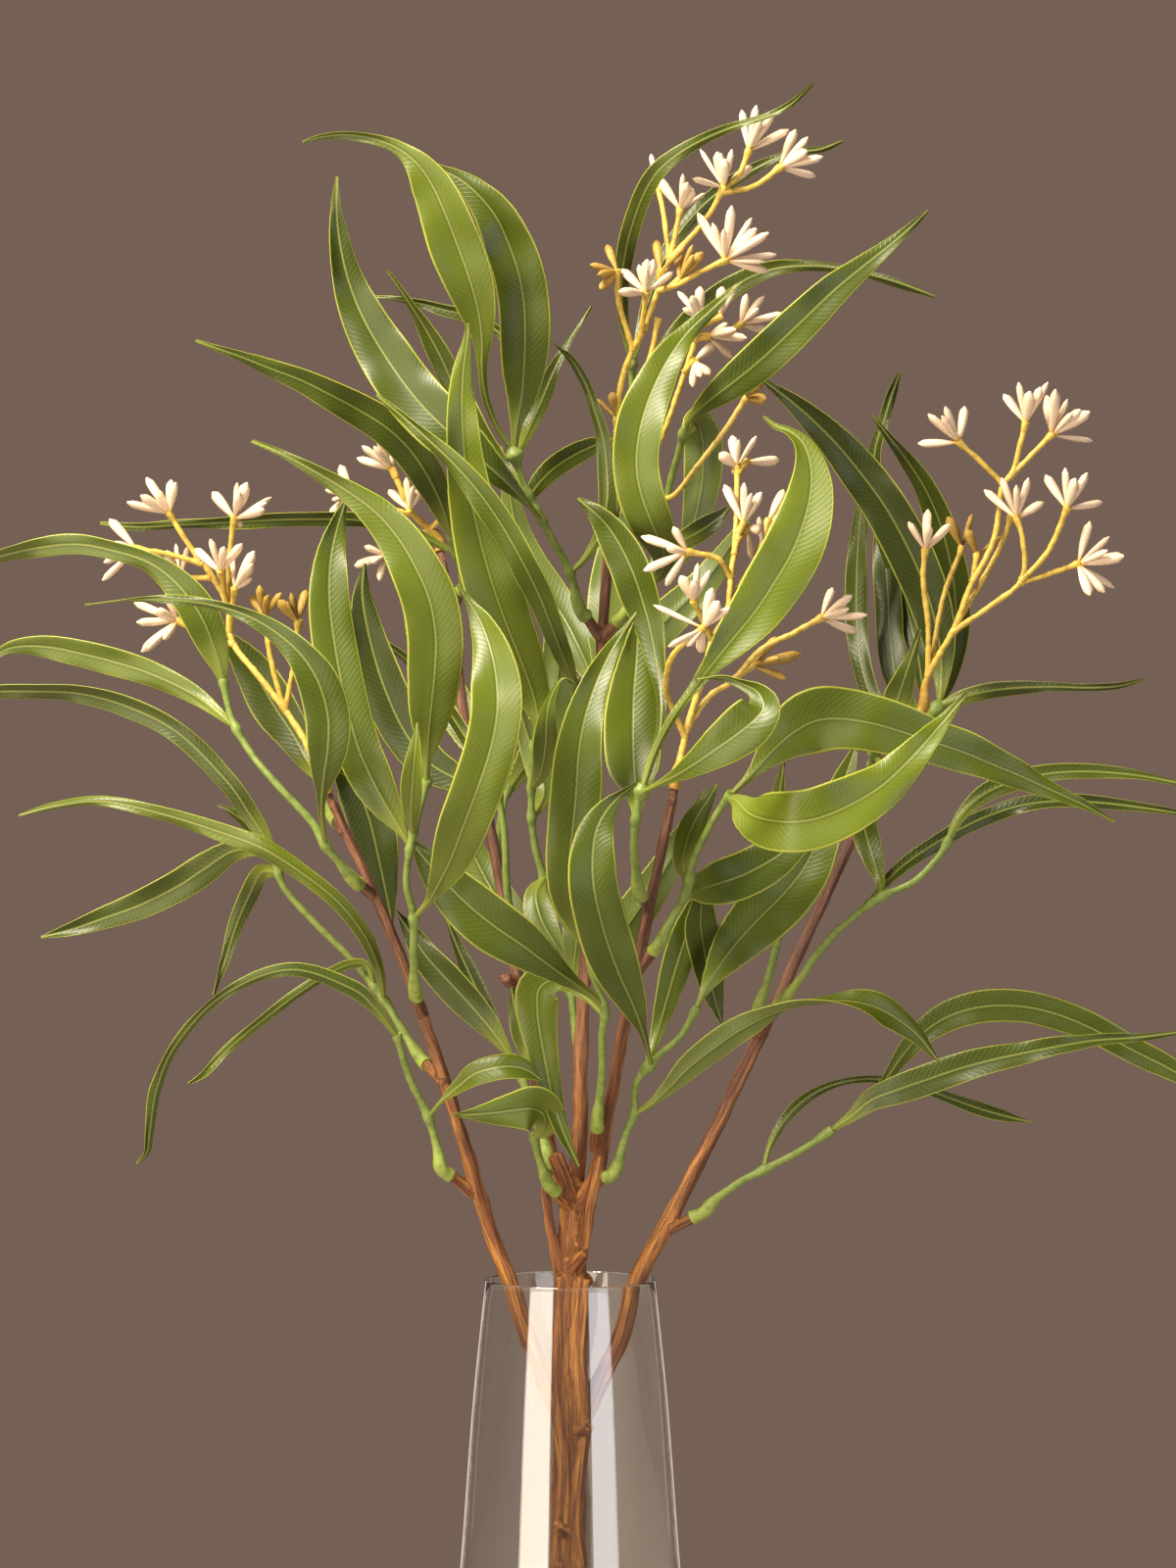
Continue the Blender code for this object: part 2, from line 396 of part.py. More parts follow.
# Bud sprays: the point on the branch, the main stalk from its mouth, and arms with bunches
SPRAYS = {
    "spray_left": {
        "root": (-96.5, 492.5, -20.9),
        "stalk": ((-99, 498, -21), (-108, 519, -19), (-117, 533, -16), (-128, 547, -13),
                  (-138, 560, -10), (-140, 575, -8), (-147, 588, -6), (-152, 594, -6)),
        "clusters": (
            cluster(((-151, 593, -6), (-158, 603, -6), (-164, 613, -6)),
                    (-173, 627), (-181, 617), (-169, 622), (-163, 626), (-161, 625)),
            cluster(((-150, 592, -6), (-165, 596, -6), (-178, 598, -6)),
                    (-188, 610), (-191, 585), (-187, 600)),
            cluster(((-140, 574, -8), (-139, 595, -10), (-137, 611, -12)),
                    (-146, 621), (-136, 625), (-132, 625), (-122, 619), (-125, 614)),
            cluster(((-140, 573, -8), (-143, 589, -13)), (-153, 598), (-147, 602), (-134, 600)),
            cluster(((-139, 564, -9), (-137, 582, -14)), (-138, 596), (-129, 597), (-130, 586)),
            cluster(((-146, 586, -6), (-160, 586, -1)), (-161, 600), (-173, 595), (-156, 599)),
            cluster(((-137, 559, -10), (-150, 563, -9), (-161, 569, -8)),
                    (-178, 576), (-165, 580), (-177, 568), (-175, 556), (-166, 561)),
            cluster(((-117, 533, -16), (-122, 552, -16), (-125, 571, -16)),
                    (-130, 579), (-118, 580), (-127, 583)),
            cluster(((-116, 532, -16), (-113, 550, -18), (-111, 569, -20)),
                    (-108, 581), (-114, 580), (-119, 577)))},
    "spray_rear": {
        "root": (-51.8, 590.5, 49.3),
        "stalk": ((-53, 597, 50), (-59, 607, 50), (-65, 613, 49), (-69, 622, 48),
                  (-72, 629, 48)),
        "clusters": (
            cluster(((-71, 627, 48), (-73, 631, 48)),
                    (-87, 635), (-85, 640), (-79, 644), (-74, 643)),
            cluster(((-61, 608, 49.5), (-66, 614, 47)), (-74, 622), (-67, 627), (-60, 625)),
            cluster(((-65, 612, 49), (-80, 616, 48), (-90, 620, 48)),
                    (-94, 632), (-100, 622), (-98, 612)),
            cluster(((-58, 606, 50), (-68, 600, 50), (-76, 595, 50)),
                    (-88, 591), (-84, 599), (-78, 585)),
            cluster(((-58, 605, 50), (-52, 611, 48)), (-48, 620), (-55, 621)))},
    "spray_top": {
        "root": (16.9, 615.5, 15),
        "stalk": ((17.3, 621, 15), (19, 645, 14), (20, 660, 12), (22, 670, 11), (26, 680, 10),
                  (30, 687, 9)),
        "clusters": (
            cluster(((26, 679, 10), (20, 698, 8), (19, 712, 6)), (15, 722), (8, 714), (12, 704)),
            cluster(((29, 685, 9), (31, 703, 4)),
                    (21, 712), (28, 714), (34, 716), (42, 711), (20, 703)),
            cluster(((30, 687, 9), (36, 704, 9), (41, 718, 10), (45, 737, 12)),
                    (36, 749), (46, 751), (50, 745), (55, 743)),
            cluster(((36, 704, 9), (37, 712, 8)), (35, 724), (47, 722)),
            cluster(((40, 716, 10), (38, 735, 17), (35, 748, 21)), (33, 759)),
            cluster(((40, 716, 10), (55, 732, 10), (63, 746, 10)),
                    (53, 761), (60, 760), (66, 761), (74, 754), (50, 749)),
            cluster(((62, 744, 10), (69, 751, 11), (73, 761, 12)),
                    (70, 777), (76, 779), (83, 776), (89, 769)),
            cluster(((62, 743, 10), (75, 746, 11), (86, 754, 12)),
                    (92, 769), (97, 766), (103, 758), (100, 750)),
            cluster(((18, 632, 15), (28, 635, 12), (36, 641, 9), (45, 665, 7), (50, 680, 6),
                     (57, 700, 6), (64, 715, 6)),
                    (52, 735), (58, 731), (66, 738), (74, 733), (81, 727), (84, 718), (81, 711)),
            cluster(((51, 683, 6), (53, 693, 3)), (44, 703), (53, 705), (46, 696)),
            cluster(((53, 688, 6), (62, 693, 6)), (68, 706), (62, 705)),
            cluster(((52, 685, 6), (63, 686, 8), (70, 690, 9)),
                    (79, 701), (72, 702), (87, 694), (80, 687)),
            cluster(((47, 670, 7), (51, 675, 4)), (59, 682), (59, 671), (46, 683)),
            cluster(((18, 631, 15), (30, 622, 8), (41, 619, 1), (52, 632, 0), (62, 645, 1),
                     (72, 660, 2)), (78, 666), (67, 668), (80, 659)))},
    "spray_centre": {
        "root": (41.7, 494.5, -31.9),
        "stalk": ((42.6, 500, -32), (45, 512, -30), (47, 522, -29), (51, 536, -29),
                  (55, 549, -30), (58, 561, -31), (64, 572, -31), (66, 590, -29),
                  (69, 606, -27)),
        "clusters": (
            cluster(((66, 586, -29), (60, 594, -31), (47, 597, -32)),
                    (29, 603), (42, 607), (30, 589), (39, 583)),
            cluster(((69, 604, -27), (71, 609, -27)), (63, 624), (71, 625), (78, 621)),
            cluster(((67, 595, -28), (68, 615, -23), (68, 632, -19)),
                    (66, 644), (76, 644), (61, 637)),
            cluster(((64, 574, -30), (73, 589, -25), (79, 599, -23)), (86, 613), (77, 611)),
            cluster(((58, 561, -31), (50, 577, -36)), (52, 592), (45, 587), (57, 589)),
            cluster(((47, 521, -29), (42, 532, -31), (39, 541, -35), (41, 553, -42),
                     (48, 561, -46), (55, 566, -48)),
                    (34, 575), (58, 582), (65, 574), (53, 556), (40, 558)),
            cluster(((48, 525, -29), (57, 538, -27), (66, 544, -27), (78, 557, -27),
                     (90, 563, -26), (103, 570, -26)),
                    (107, 582), (115, 579), (121, 571), (117, 564)),
            cluster(((66, 544, -27), (75, 551, -24)), (89, 558), (88, 545), (84, 562)))},
    "spray_right": {
        "root": (139.3, 523.5, 22),
        "stalk": ((142, 529.5, 22), (146, 546, 21), (157, 566, 19), (163, 582, 18),
                  (173, 602, 18), (176, 622, 18), (181, 629, 18)),
        "clusters": (
            cluster(((177, 624, 18), (168, 633, 17), (158, 642, 16)),
                    (142, 641), (146, 653), (153, 656), (161, 656)),
            cluster(((181, 628, 18), (186, 650, 18)), (177, 661), (183, 666), (192, 664)),
            cluster(((180, 628, 18), (189, 637, 18), (197, 645, 18)),
                    (194, 661), (203, 659), (212, 654), (213, 642)),
            cluster(((146, 546, 21), (146, 567, 20), (144, 585, 19), (145, 598, 18)),
                    (146, 614), (138, 609), (155, 608)),
            cluster(((147, 549, 21), (152, 577, 25), (160, 599, 27)), (164, 612), (154, 611)),
            cluster(((164, 584, 18), (166, 596, 25)), (176, 603), (162, 606)),
            cluster(((156, 564, 19), (172, 575, 16), (184, 585, 14), (185, 600, 13),
                     (182, 611, 13)),
                    (169, 622), (176, 627), (187, 627), (193, 617)),
            cluster(((184, 585, 14), (195, 597, 12), (203, 615, 10)),
                    (194, 628), (202, 631), (211, 629), (217, 617)),
            cluster(((183, 584, 14), (196, 588, 14), (208, 592, 14)),
                    (212, 609), (220, 603), (226, 595), (222, 582), (212, 579)))},
}


def seen(x, z, depth):
    """Where the front view's point x, z lies when it is `depth` behind the vase's axis."""
    rise = min(1.0, max(0.0, (z - SPREAD_LOW) / (SPREAD_HIGH - SPREAD_LOW)))
    depth *= 1.0 + (DEPTH_SPREAD - 1.0) * rise
    flat = Vector((x, 0.0, z))
    return EYE + (flat - EYE) * (1.0 + depth / -EYE.y)


def spline(points, steps=12):
    """A dense smooth line through the points."""
    padded = [points[0] * 2 - points[1], *points, points[-1] * 2 - points[-2]]
    line = []
    for a, b, c, d in zip(padded, padded[1:], padded[2:], padded[3:]):
        for k in range(steps):
            t = k / steps
            line.append(0.5 * (2 * b + (c - a) * t + (2 * a - 5 * b + 4 * c - d) * t * t
                               + (3 * b - a - 3 * c + d) * t ** 3))
    return line + [points[-1]]


def lengths(line):
    """Distance along the line at each of its points."""
    run = [0.0]
    for a, b in zip(line, line[1:]):
        run.append(run[-1] + (b - a).length)
    return run


def point_and_direction(line, run, distance):
    """The point at a distance along the line, and the line's direction there."""
    k = 1
    while k < len(run) - 1 and run[k] < distance:
        k += 1
    step = line[k] - line[k - 1]
    point = line[k - 1] + step * ((distance - run[k - 1]) / (run[k] - run[k - 1]))
    before, after = line[max(k - 2, 0)], line[min(k + 1, len(line) - 1)]
    return point, (after - before).normalized()


def side_of(direction, point):
    """The unit vector across a line that faces the viewer, and the one towards the viewer."""
    side = direction.cross(EYE - point).normalized()
    return side, side.cross(direction).normalized()


def ring(centre, direction, radius, sides):
    """A regular ring of points square to the direction."""
    side, front = side_of(direction, centre)
    angles = (math.tau * k / sides for k in range(sides))
    return [centre + (side * math.cos(a) + front * math.sin(a)) * radius for a in angles]


def as_object(name, bm):
    """The finished shape as an object of the scene, with its faces turned outwards."""
    bmesh.ops.recalc_face_normals(bm, faces=bm.faces)
    mesh = bpy.data.meshes.new(name)
    bm.to_mesh(mesh)
    bm.free()
    obj = bpy.data.objects.new(name, mesh)
    bpy.context.scene.collection.objects.link(obj)
    return obj


def loft(name, rings, mirrored=()):
    """A closed solid through rings of equal count; mirrored sides swap their diagonal."""
    bm = bmesh.new()
    rows = [[bm.verts.new(p * MM) for p in points] for points in rings]
    count = len(rows[0])
    for a, b in zip(rows, rows[1:]):
        for i in range(count):
            j = (i + 1) % count
            if i in mirrored:
                bm.faces.new((a[i], a[j], b[i]))
                bm.faces.new((a[j], b[j], b[i]))
            else:
                bm.faces.new((a[i], a[j], b[j]))
                bm.faces.new((a[i], b[j], b[i]))
    for row in (rows[0], rows[-1]):
        for k in range(2, count):
            bm.faces.new((row[1], row[k], row[(k + 1) % count]))
    return as_object(name, bm)


def spindle(name, base, tip, radius, sides):
    """A bud: a pointed root, a thick belly past its middle and a pointed end."""
    axis = tip - base
    direction = axis.normalized()
    bm = bmesh.new()
    belly = [bm.verts.new(p * MM) for p in ring(base + axis * 0.62, direction, radius, sides)]
    root, end = bm.verts.new(base * MM), bm.verts.new(tip * MM)
    for i in range(sides):
        j = (i + 1) % sides
        bm.faces.new((belly[i], belly[j], end))
        bm.faces.new((belly[j], belly[i], root))
    return as_object(name, bm)


def material(name, colour, roughness, metallic):
    """A plain surface with the piece's own colour."""
    mat = bpy.data.materials.new(name)
    mat.use_nodes = True
    surface = mat.node_tree.nodes["Principled BSDF"]
    surface.inputs["Base Color"].default_value = (*colour, 1.0)
    surface.inputs["Roughness"].default_value = roughness
    surface.inputs["Metallic"].default_value = metallic
    return mat


def fuse(name, pieces, look):
    """Join the pieces into one body with one Boolean union, and give it its material."""
    body = pieces[0]
    group = bpy.data.collections.new(name + "_pieces")
    for piece in pieces[1:]:
        group.objects.link(piece)
    union = body.modifiers.new("union", "BOOLEAN")
    union.operation = "UNION"
    union.operand_type = "COLLECTION"
    union.collection = group
    union.solver = "MANIFOLD"
    shape = body.evaluated_get(bpy.context.evaluated_depsgraph_get())
    mesh = bpy.data.meshes.new_from_object(shape)
    body.modifiers.remove(union)
    body.data = mesh
    body.name = mesh.name = name
    for piece in pieces[1:]:
        bpy.data.objects.remove(piece)
    bpy.data.collections.remove(group)
    mesh.materials.clear()
    mesh.materials.append(material(name + "_" + look[0], *look[1:]))
    return body


def tube_along(name, points, radii, sides):
    """A round bar along a smooth line, with a radius at each given point."""
    line = spline(points)
    steps = (len(line) - 1) // (len(points) - 1)
    rings = []
    for k, radius in enumerate(radii):
        at = k * steps
        direction = line[min(at + 1, len(line) - 1)] - line[max(at - 1, 0)]
        rings.append(ring(line[at], direction.normalized(), radius, sides))
    return loft(name, rings)


def woody(name, stations, sides=5):
    """A stretch of brown branch from its listed stations."""
    points = [seen(x, z, y) for x, z, y, _ in stations]
    return tube_along(name, points, [s[3] for s in stations], sides)


def stalk_route(plan):
    """The stub's root and a stalk's route: its mouth, the end of its hole, and what follows."""
    root, *points = [seen(*p) for p in (plan["root"], *plan["stalk"])]
    reach = (points[0] - root).length
    direction = (points[0] - root) / reach
    mouth = root + direction * min(reach, STUB_REACH)
    if reach < STUB_REACH + BORE_DEPTH * 2:
        points = points[1:]
    return root, [mouth, mouth + direction * (BORE_DEPTH + 1), *points]


def stub(name, root, mouth, radius):
    """A short twig from the branch to a sleeve's mouth, with the pin that enters it."""
    direction = (mouth - root).normalized()
    seat = mouth - direction * SEAT_GAP
    end = mouth + direction * PIN_LENGTH
    return loft(name, [ring(root, direction, radius, STALK_SIDES),
                       ring(seat, direction, radius, STALK_SIDES),
                       ring(seat, direction, PIN_RADIUS, STALK_SIDES),
                       ring(end, direction, PIN_RADIUS, STALK_SIDES)])


def sleeve_stalk(name, points, radius, end_radius):
    """A stalk whose thick sleeve has a blind hole for the pin of its stub."""
    direction = (points[1] - points[0]).normalized()
    line = spline(points)
    run = lengths(line)
    rings = [ring(points[0] + direction * BORE_DEPTH, direction, BORE_RADIUS, STALK_SIDES),
             ring(points[0], direction, BORE_RADIUS, STALK_SIDES),
             ring(points[0], direction, radius, STALK_SIDES)]
    stretch = run[-1] - SLEEVE_LENGTH
    count = max(2, round(stretch / STATION_STEP))
    marks = [(BORE_DEPTH + 1, radius), (SLEEVE_LENGTH, radius * 0.72)]
    for k in range(1, count + 1):
        along = k / count
        size = radius * 0.66 * (1 - along) + end_radius * along
        marks.append((SLEEVE_LENGTH + stretch * along, size))
    axis = [points[0]]
    for distance, size in marks:
        point, heading = point_and_direction(line, run, distance)
        rings.append(ring(point, heading, size, STALK_SIDES))
        axis.append(point)
    return loft(name, rings), axis


def nearest_on(axes, point):
    """The point nearest to the given one on any of the broken lines."""
    best = None
    for axis in axes:
        for a, b in zip(axis, axis[1:]):
            share = (point - a).dot(b - a) / (b - a).length_squared
            near = a.lerp(b, min(1.0, max(0.0, share)))
            if best is None or (near - point).length < (best - point).length:
                best = near
    return best


def blend(values, along):
    """The value at a place from 0 to 1 along an evenly spaced list."""
    place = along * (len(values) - 1)
    k = min(int(place), len(values) - 2)
    return values[k] + (values[k + 1] - values[k]) * (place - k)


def blade_width(along):
    """How wide a leaf is, from 0 at its stalk through 1 at its widest to 0 at its tip."""
    return along ** 0.7 * (1 - along) ** 0.95 / BLADE_PEAK


def blade(name, width, points, turn):
    """A leaf: a stalk that opens into a shallowly folded blade with a long thin tip."""
    line = spline(points)
    run = lengths(line)
    stretch = run[-1] - PETIOLE_LENGTH
    fold = math.tan(FOLD_ANGLE)
    count = min(5, max(3, round(stretch / LEAF_STEP)))
    marks = [(0.0, 0.0)]
    for k in range(count + 1):
        u = (k / count) ** 0.9
        marks.append((u, PETIOLE_LENGTH + stretch * u))
    rings = []
    for u, distance in marks:
        point, direction = point_and_direction(line, run, distance)
        side, front = side_of(direction, point)
        angle = math.radians(blend(turn, distance / run[-1]))
        across = side * math.cos(angle) + front * math.sin(angle)
        up = front * math.cos(angle) - side * math.sin(angle)
        stalk = 1.0 if u == 0 else 0.0
        half = max(width / 2 * blade_width(u), PETIOLE_HALF * stalk, 0.5)
        rise = fold * half * (1 - stalk)
        rib, edge = RIB_HALF_THICK + 0.5 * stalk, EDGE_HALF_THICK + 0.25 * stalk
        rings.append([point - across * half + up * (rise + edge), point + up * rib,
                      point + across * half + up * (rise + edge),
                      point + across * half + up * (rise - edge), point - up * rib,
                      point - across * half + up * (rise - edge)])
    return loft(name, rings, mirrored=(3, 4))


def build_vase():
    """The glass: a revolved shell with a heavy flat bottom."""
    outer = [(r, z) for z, r in VASE_PROFILE]
    inner = [(r - VASE_WALL, z) for z, r in reversed(VASE_PROFILE) if z > VASE_FLOOR]
    profile = outer + inner + [(VASE_CORNER, VASE_FLOOR)]
    turns = [math.tau * k / VASE_SIDES for k in range(VASE_SIDES)]
    rings = [[Vector((r * math.cos(a), r * math.sin(a), z)) for a in turns] for r, z in profile]
    vase = loft("vase", rings)
    vase.data.materials.append(material("vase_" + GLASS[0], *GLASS[1:]))
    return vase


def build_branch():
    """The brown branch: trunk, five limbs, cut knobs, and a stub for every sprig and spray."""
    pieces = [woody("trunk", TRUNK, 8)]
    limbs = (BRANCH_LEFT, BRANCH_RIGHT, BRANCH_CENTRE, BRANCH_UPRIGHT, BRANCH_REAR)
    pieces += [woody("limb", stations) for stations in limbs]
    for low, high in KNOBS:
        start, end = seen(*low), seen(*high)
        heading = (end - start).normalized()
        pieces.append(loft("knob", [ring(start, heading, 3.2, 5), ring(end, heading, 2.4, 5)]))
    for plans, radius in ((SPRIGS, STUB_RADIUS), (SPRAYS, TIP_STUB_RADIUS)):
        for plan in plans.values():
            root, route = stalk_route(plan)
            pieces.append(stub("stub", root, route[0], radius))
    return fuse("branch", pieces, BARK)


def build_sprig(name, plan):
    """A green sleeve and stalk with its leaves."""
    stalk, axis = sleeve_stalk(name, stalk_route(plan)[1], SLEEVE_RADIUS, STALK_END_RADIUS)
    pieces = [stalk]
    for item in plan["leaves"]:
        midrib = [seen(*p) for p in item["points"]]
        midrib[0] = nearest_on([axis], midrib[0])
        pieces.append(blade("leaf", item["width"], midrib, item["turn"]))
    return fuse(name, pieces, LEAF)


def build_spray(name, plan):
    """A yellow stalk with thin arms, each ending in a bunch of pointed buds."""
    stalk, axis = sleeve_stalk(name, stalk_route(plan)[1], SPRAY_RADIUS, ARM_RADIUS)
    pieces, axes = [stalk], [axis]
    for bunch in plan["clusters"]:
        arm = [seen(*p) for p in bunch["points"]]
        arm[0] = nearest_on(axes, arm[0])
        axes.append(arm)
        radii = [ARM_RADIUS] * (len(arm) - 1) + [KNOB_RADIUS]
        pieces.append(tube_along("arm", arm, radii, ARM_SIDES))
        inside = arm[-1] - (arm[-1] - arm[-2]).normalized() * KNOB_RADIUS * 0.5
        depth = bunch["points"][-1][2]
        for k, (x, z) in enumerate(bunch["tips"]):
            tip = seen(x, z, depth + BUD_SPREAD * math.sin(2.4 * k + 1))
            pieces.append(spindle("bud", inside, tip, BUD_RADIUS, BUD_SIDES))
    return fuse(name, pieces, BUD)


def main():
    for obj in list(bpy.data.objects):
        bpy.data.objects.remove(obj)
    build_vase()
    build_branch()
    for name, plan in SPRIGS.items():
        build_sprig(name, plan)
    for name, plan in SPRAYS.items():
        build_spray(name, plan)


main()
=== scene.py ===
# %% [markdown]
# # A seeded eucalyptus stem in a clear vase
#
# The real thing is one brown branch with five limbs. Green sprigs of long, thin, slightly folded
# leaves are pushed over short twigs on it, and bunches of slim cream buds stand on yellow stalks.
# A tall clear vase holds the branch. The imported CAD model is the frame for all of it: each piece
# made here takes the place of one CAD node and stays where that node is.
#
# The order is: the layout of the plant, small helpers, materials, and then the sprigs, the sprays,
# the branch, the vase, the light and the camera.

# %% Load the frame
import math
from bisect import bisect_left

import bmesh
import bpy
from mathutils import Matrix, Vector


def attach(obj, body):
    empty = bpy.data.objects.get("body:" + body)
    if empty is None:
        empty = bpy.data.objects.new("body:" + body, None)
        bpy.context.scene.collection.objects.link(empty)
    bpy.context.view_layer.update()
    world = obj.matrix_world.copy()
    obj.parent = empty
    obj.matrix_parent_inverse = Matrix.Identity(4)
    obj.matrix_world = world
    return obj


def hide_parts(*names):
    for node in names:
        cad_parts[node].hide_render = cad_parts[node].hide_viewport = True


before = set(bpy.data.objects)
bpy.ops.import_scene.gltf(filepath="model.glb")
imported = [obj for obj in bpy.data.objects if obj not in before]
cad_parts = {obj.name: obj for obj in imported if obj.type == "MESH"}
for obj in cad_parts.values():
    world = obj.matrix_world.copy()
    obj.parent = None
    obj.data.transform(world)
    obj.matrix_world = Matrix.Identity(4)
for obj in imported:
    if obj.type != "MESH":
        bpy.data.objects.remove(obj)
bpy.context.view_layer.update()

MM = 0.001
TAU = math.tau
print("frame:", len(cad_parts), "nodes")

# %% [markdown]
# ## The layout
#
# A plant has no rule that gives the place of each leaf, so its layout is a list. Every stalk, leaf
# and bud is a short row of points x, z and depth in millimetres, read: x to the right, z
# up, and depth away from the viewer. A point is moved along the viewer's sight line by its depth,
# so the front view stays the same whatever the depth is. A few points for each line are enough,
# because a smooth curve goes through them.

# %% Layout helpers
EYE = Vector((7.2, -2000.0, 502.0))
# The listed depths are small, so they grow by this much from the fork up to the crown
DEPTH_SPREAD = 2.1
SPREAD_LOW, SPREAD_HIGH = 300.0, 460.0


def planned(root, stalk, *parts):
    """A sprig or spray: its root in the branch, its stalk from its mouth, and what it carries."""
    return {"root": root, "stalk": stalk, "parts": parts}


def leaf(*stations, turn=(0, 0)):
    """One leaf: x, z, depth and width at points of its midrib from its root, and its turns."""
    return {"points": [s[:3] for s in stations], "widths": [s[3] for s in stations], "turn": turn}


def cluster(points, *tips):
    """A bunch of buds: points of its own thin stalk, then the front view's x, z of each tip."""
    return {"points": points, "tips": tips}


def seen(x, z, depth):
    """Where the front view's point x, z lies when it is `depth` behind the vase's axis."""
    rise = min(1.0, max(0.0, (z - SPREAD_LOW) / (SPREAD_HIGH - SPREAD_LOW)))
    depth *= 1.0 + (DEPTH_SPREAD - 1.0) * rise
    flat = Vector((x, 0.0, z))
    return EYE + (flat - EYE) * (1.0 + depth / -EYE.y)


# %% [markdown]
# ## The branch's lines
#
# The real branch is one trunk that parts into five limbs. They could be modelled as one mesh by
# hand, but a line with a thickness at each point says all that is needed, and the same lines later
# give the bark its grain.

# %% The trunk, the limbs and what lies on them
# Points as x, z, depth with the radius there
TRUNK = ((-5, 16.6, 5, 7.6), (-3, 90, 3, 7.5), (-1, 150, 2, 7.3), (-1, 200, 0, 7.2),
         (0, 250, 0, 6.8), (0, 300, 0, 6.3), (2, 337, 0, 5.2))
BRANCH_LEFT = ((-1, 236, -2, 4), (-12, 262, -5, 3.8), (-25.4, 300, -8, 3.5),
               (-34.5, 325, -10, 3.2), (-48, 370, -14, 2.7), (-63.5, 417, -17, 2.3),
               (-79, 455, -19, 2.1), (-97, 494, -21, 2))
BRANCH_RIGHT = ((0, 232, 1, 4), (12, 258, 2, 3.8), (20, 274, 3, 3.6), (27.6, 300, 3, 3.4),
                (38, 320, 6, 3.4), (50, 343, 11, 3.1), (77, 398, 16, 2.8),
                (100, 447, 19, 2.4), (120, 490, 21, 2.2), (140, 525, 22, 2))
BRANCH_CENTRE = ((3, 331, -1, 4), (10.5, 343, -5, 3), (16, 370, -11, 2.7), (21.5, 400, -17, 2.5),
                 (34, 460, -27, 2.3), (42, 496, -32, 2))
BRANCH_UPRIGHT = ((1, 331, 1, 4), (4, 360, 4, 3.2), (4.6, 400, 7, 2.9), (9, 480, 11, 2.6),
                  (13, 562, 13, 2.4), (17, 617, 15, 2))
BRANCH_REAR = ((-1, 331, 2, 4), (-8, 350, 10, 3.2), (-15, 390, 18, 2.9), (-22, 425, 25, 2.6),
               (-33, 485, 35, 2.5), (-41, 515, 40, 2.4), (-52, 592, 49.5, 2))
# Thin twigs that lie along the trunk where it forks and in the vase
STRANDS = (((-10.5, 345, -2, 1.8), (-9.5, 330, -3, 2), (-7, 315, -4, 2), (-5, 303, -4, 2)),
           ((-6.5, 351, -6, 3.2), (-3, 342, -5, 3.2), (0, 333, -3, 3.2)),
           ((14, 362, -9, 1.8), (11.5, 345, -7, 2.2), (8, 330, -6, 2.4), (6, 312, -5, 2)),
           ((6, 300, -5, 2.6), (4, 270, -6, 2.8), (6, 240, -5.5, 2.4), (3, 205, -6, 2.6),
            (5, 182, -5, 2.2)),
           ((-4, 300, -4, 2.4), (-5, 262, -5, 2.8), (-3, 225, -6, 2.5), (-5, 185, -5, 2.6)))
# Short knobs left on the bark where other twigs were cut
KNOBS = (((2, 305, -4), (6, 310, -9)), ((3, 236, -3), (8, 240, -9)),
         ((-2, 196, -4), (-6, 199, -9)), ((3, 297, 0), (9, 300, -1)),
         ((-22, 420, 24), (-27, 423, 20)))

print("trunk points:", len(TRUNK), "strands:", len(STRANDS), "knobs:", len(KNOBS))

# %% [markdown]
# ## The sprigs' lines
#
# Each sprig is a green stalk with one to eight leaves, and all of them hang differently, because
# they were bent by hand. Leaves could be scattered at random, but then the outline wouldn't be
# this plant's. So each leaf is listed by its midrib, with its width along it, and by how far the
# blade turns about the midrib, in degrees from root to tip. The sprigs are listed limb by limb.

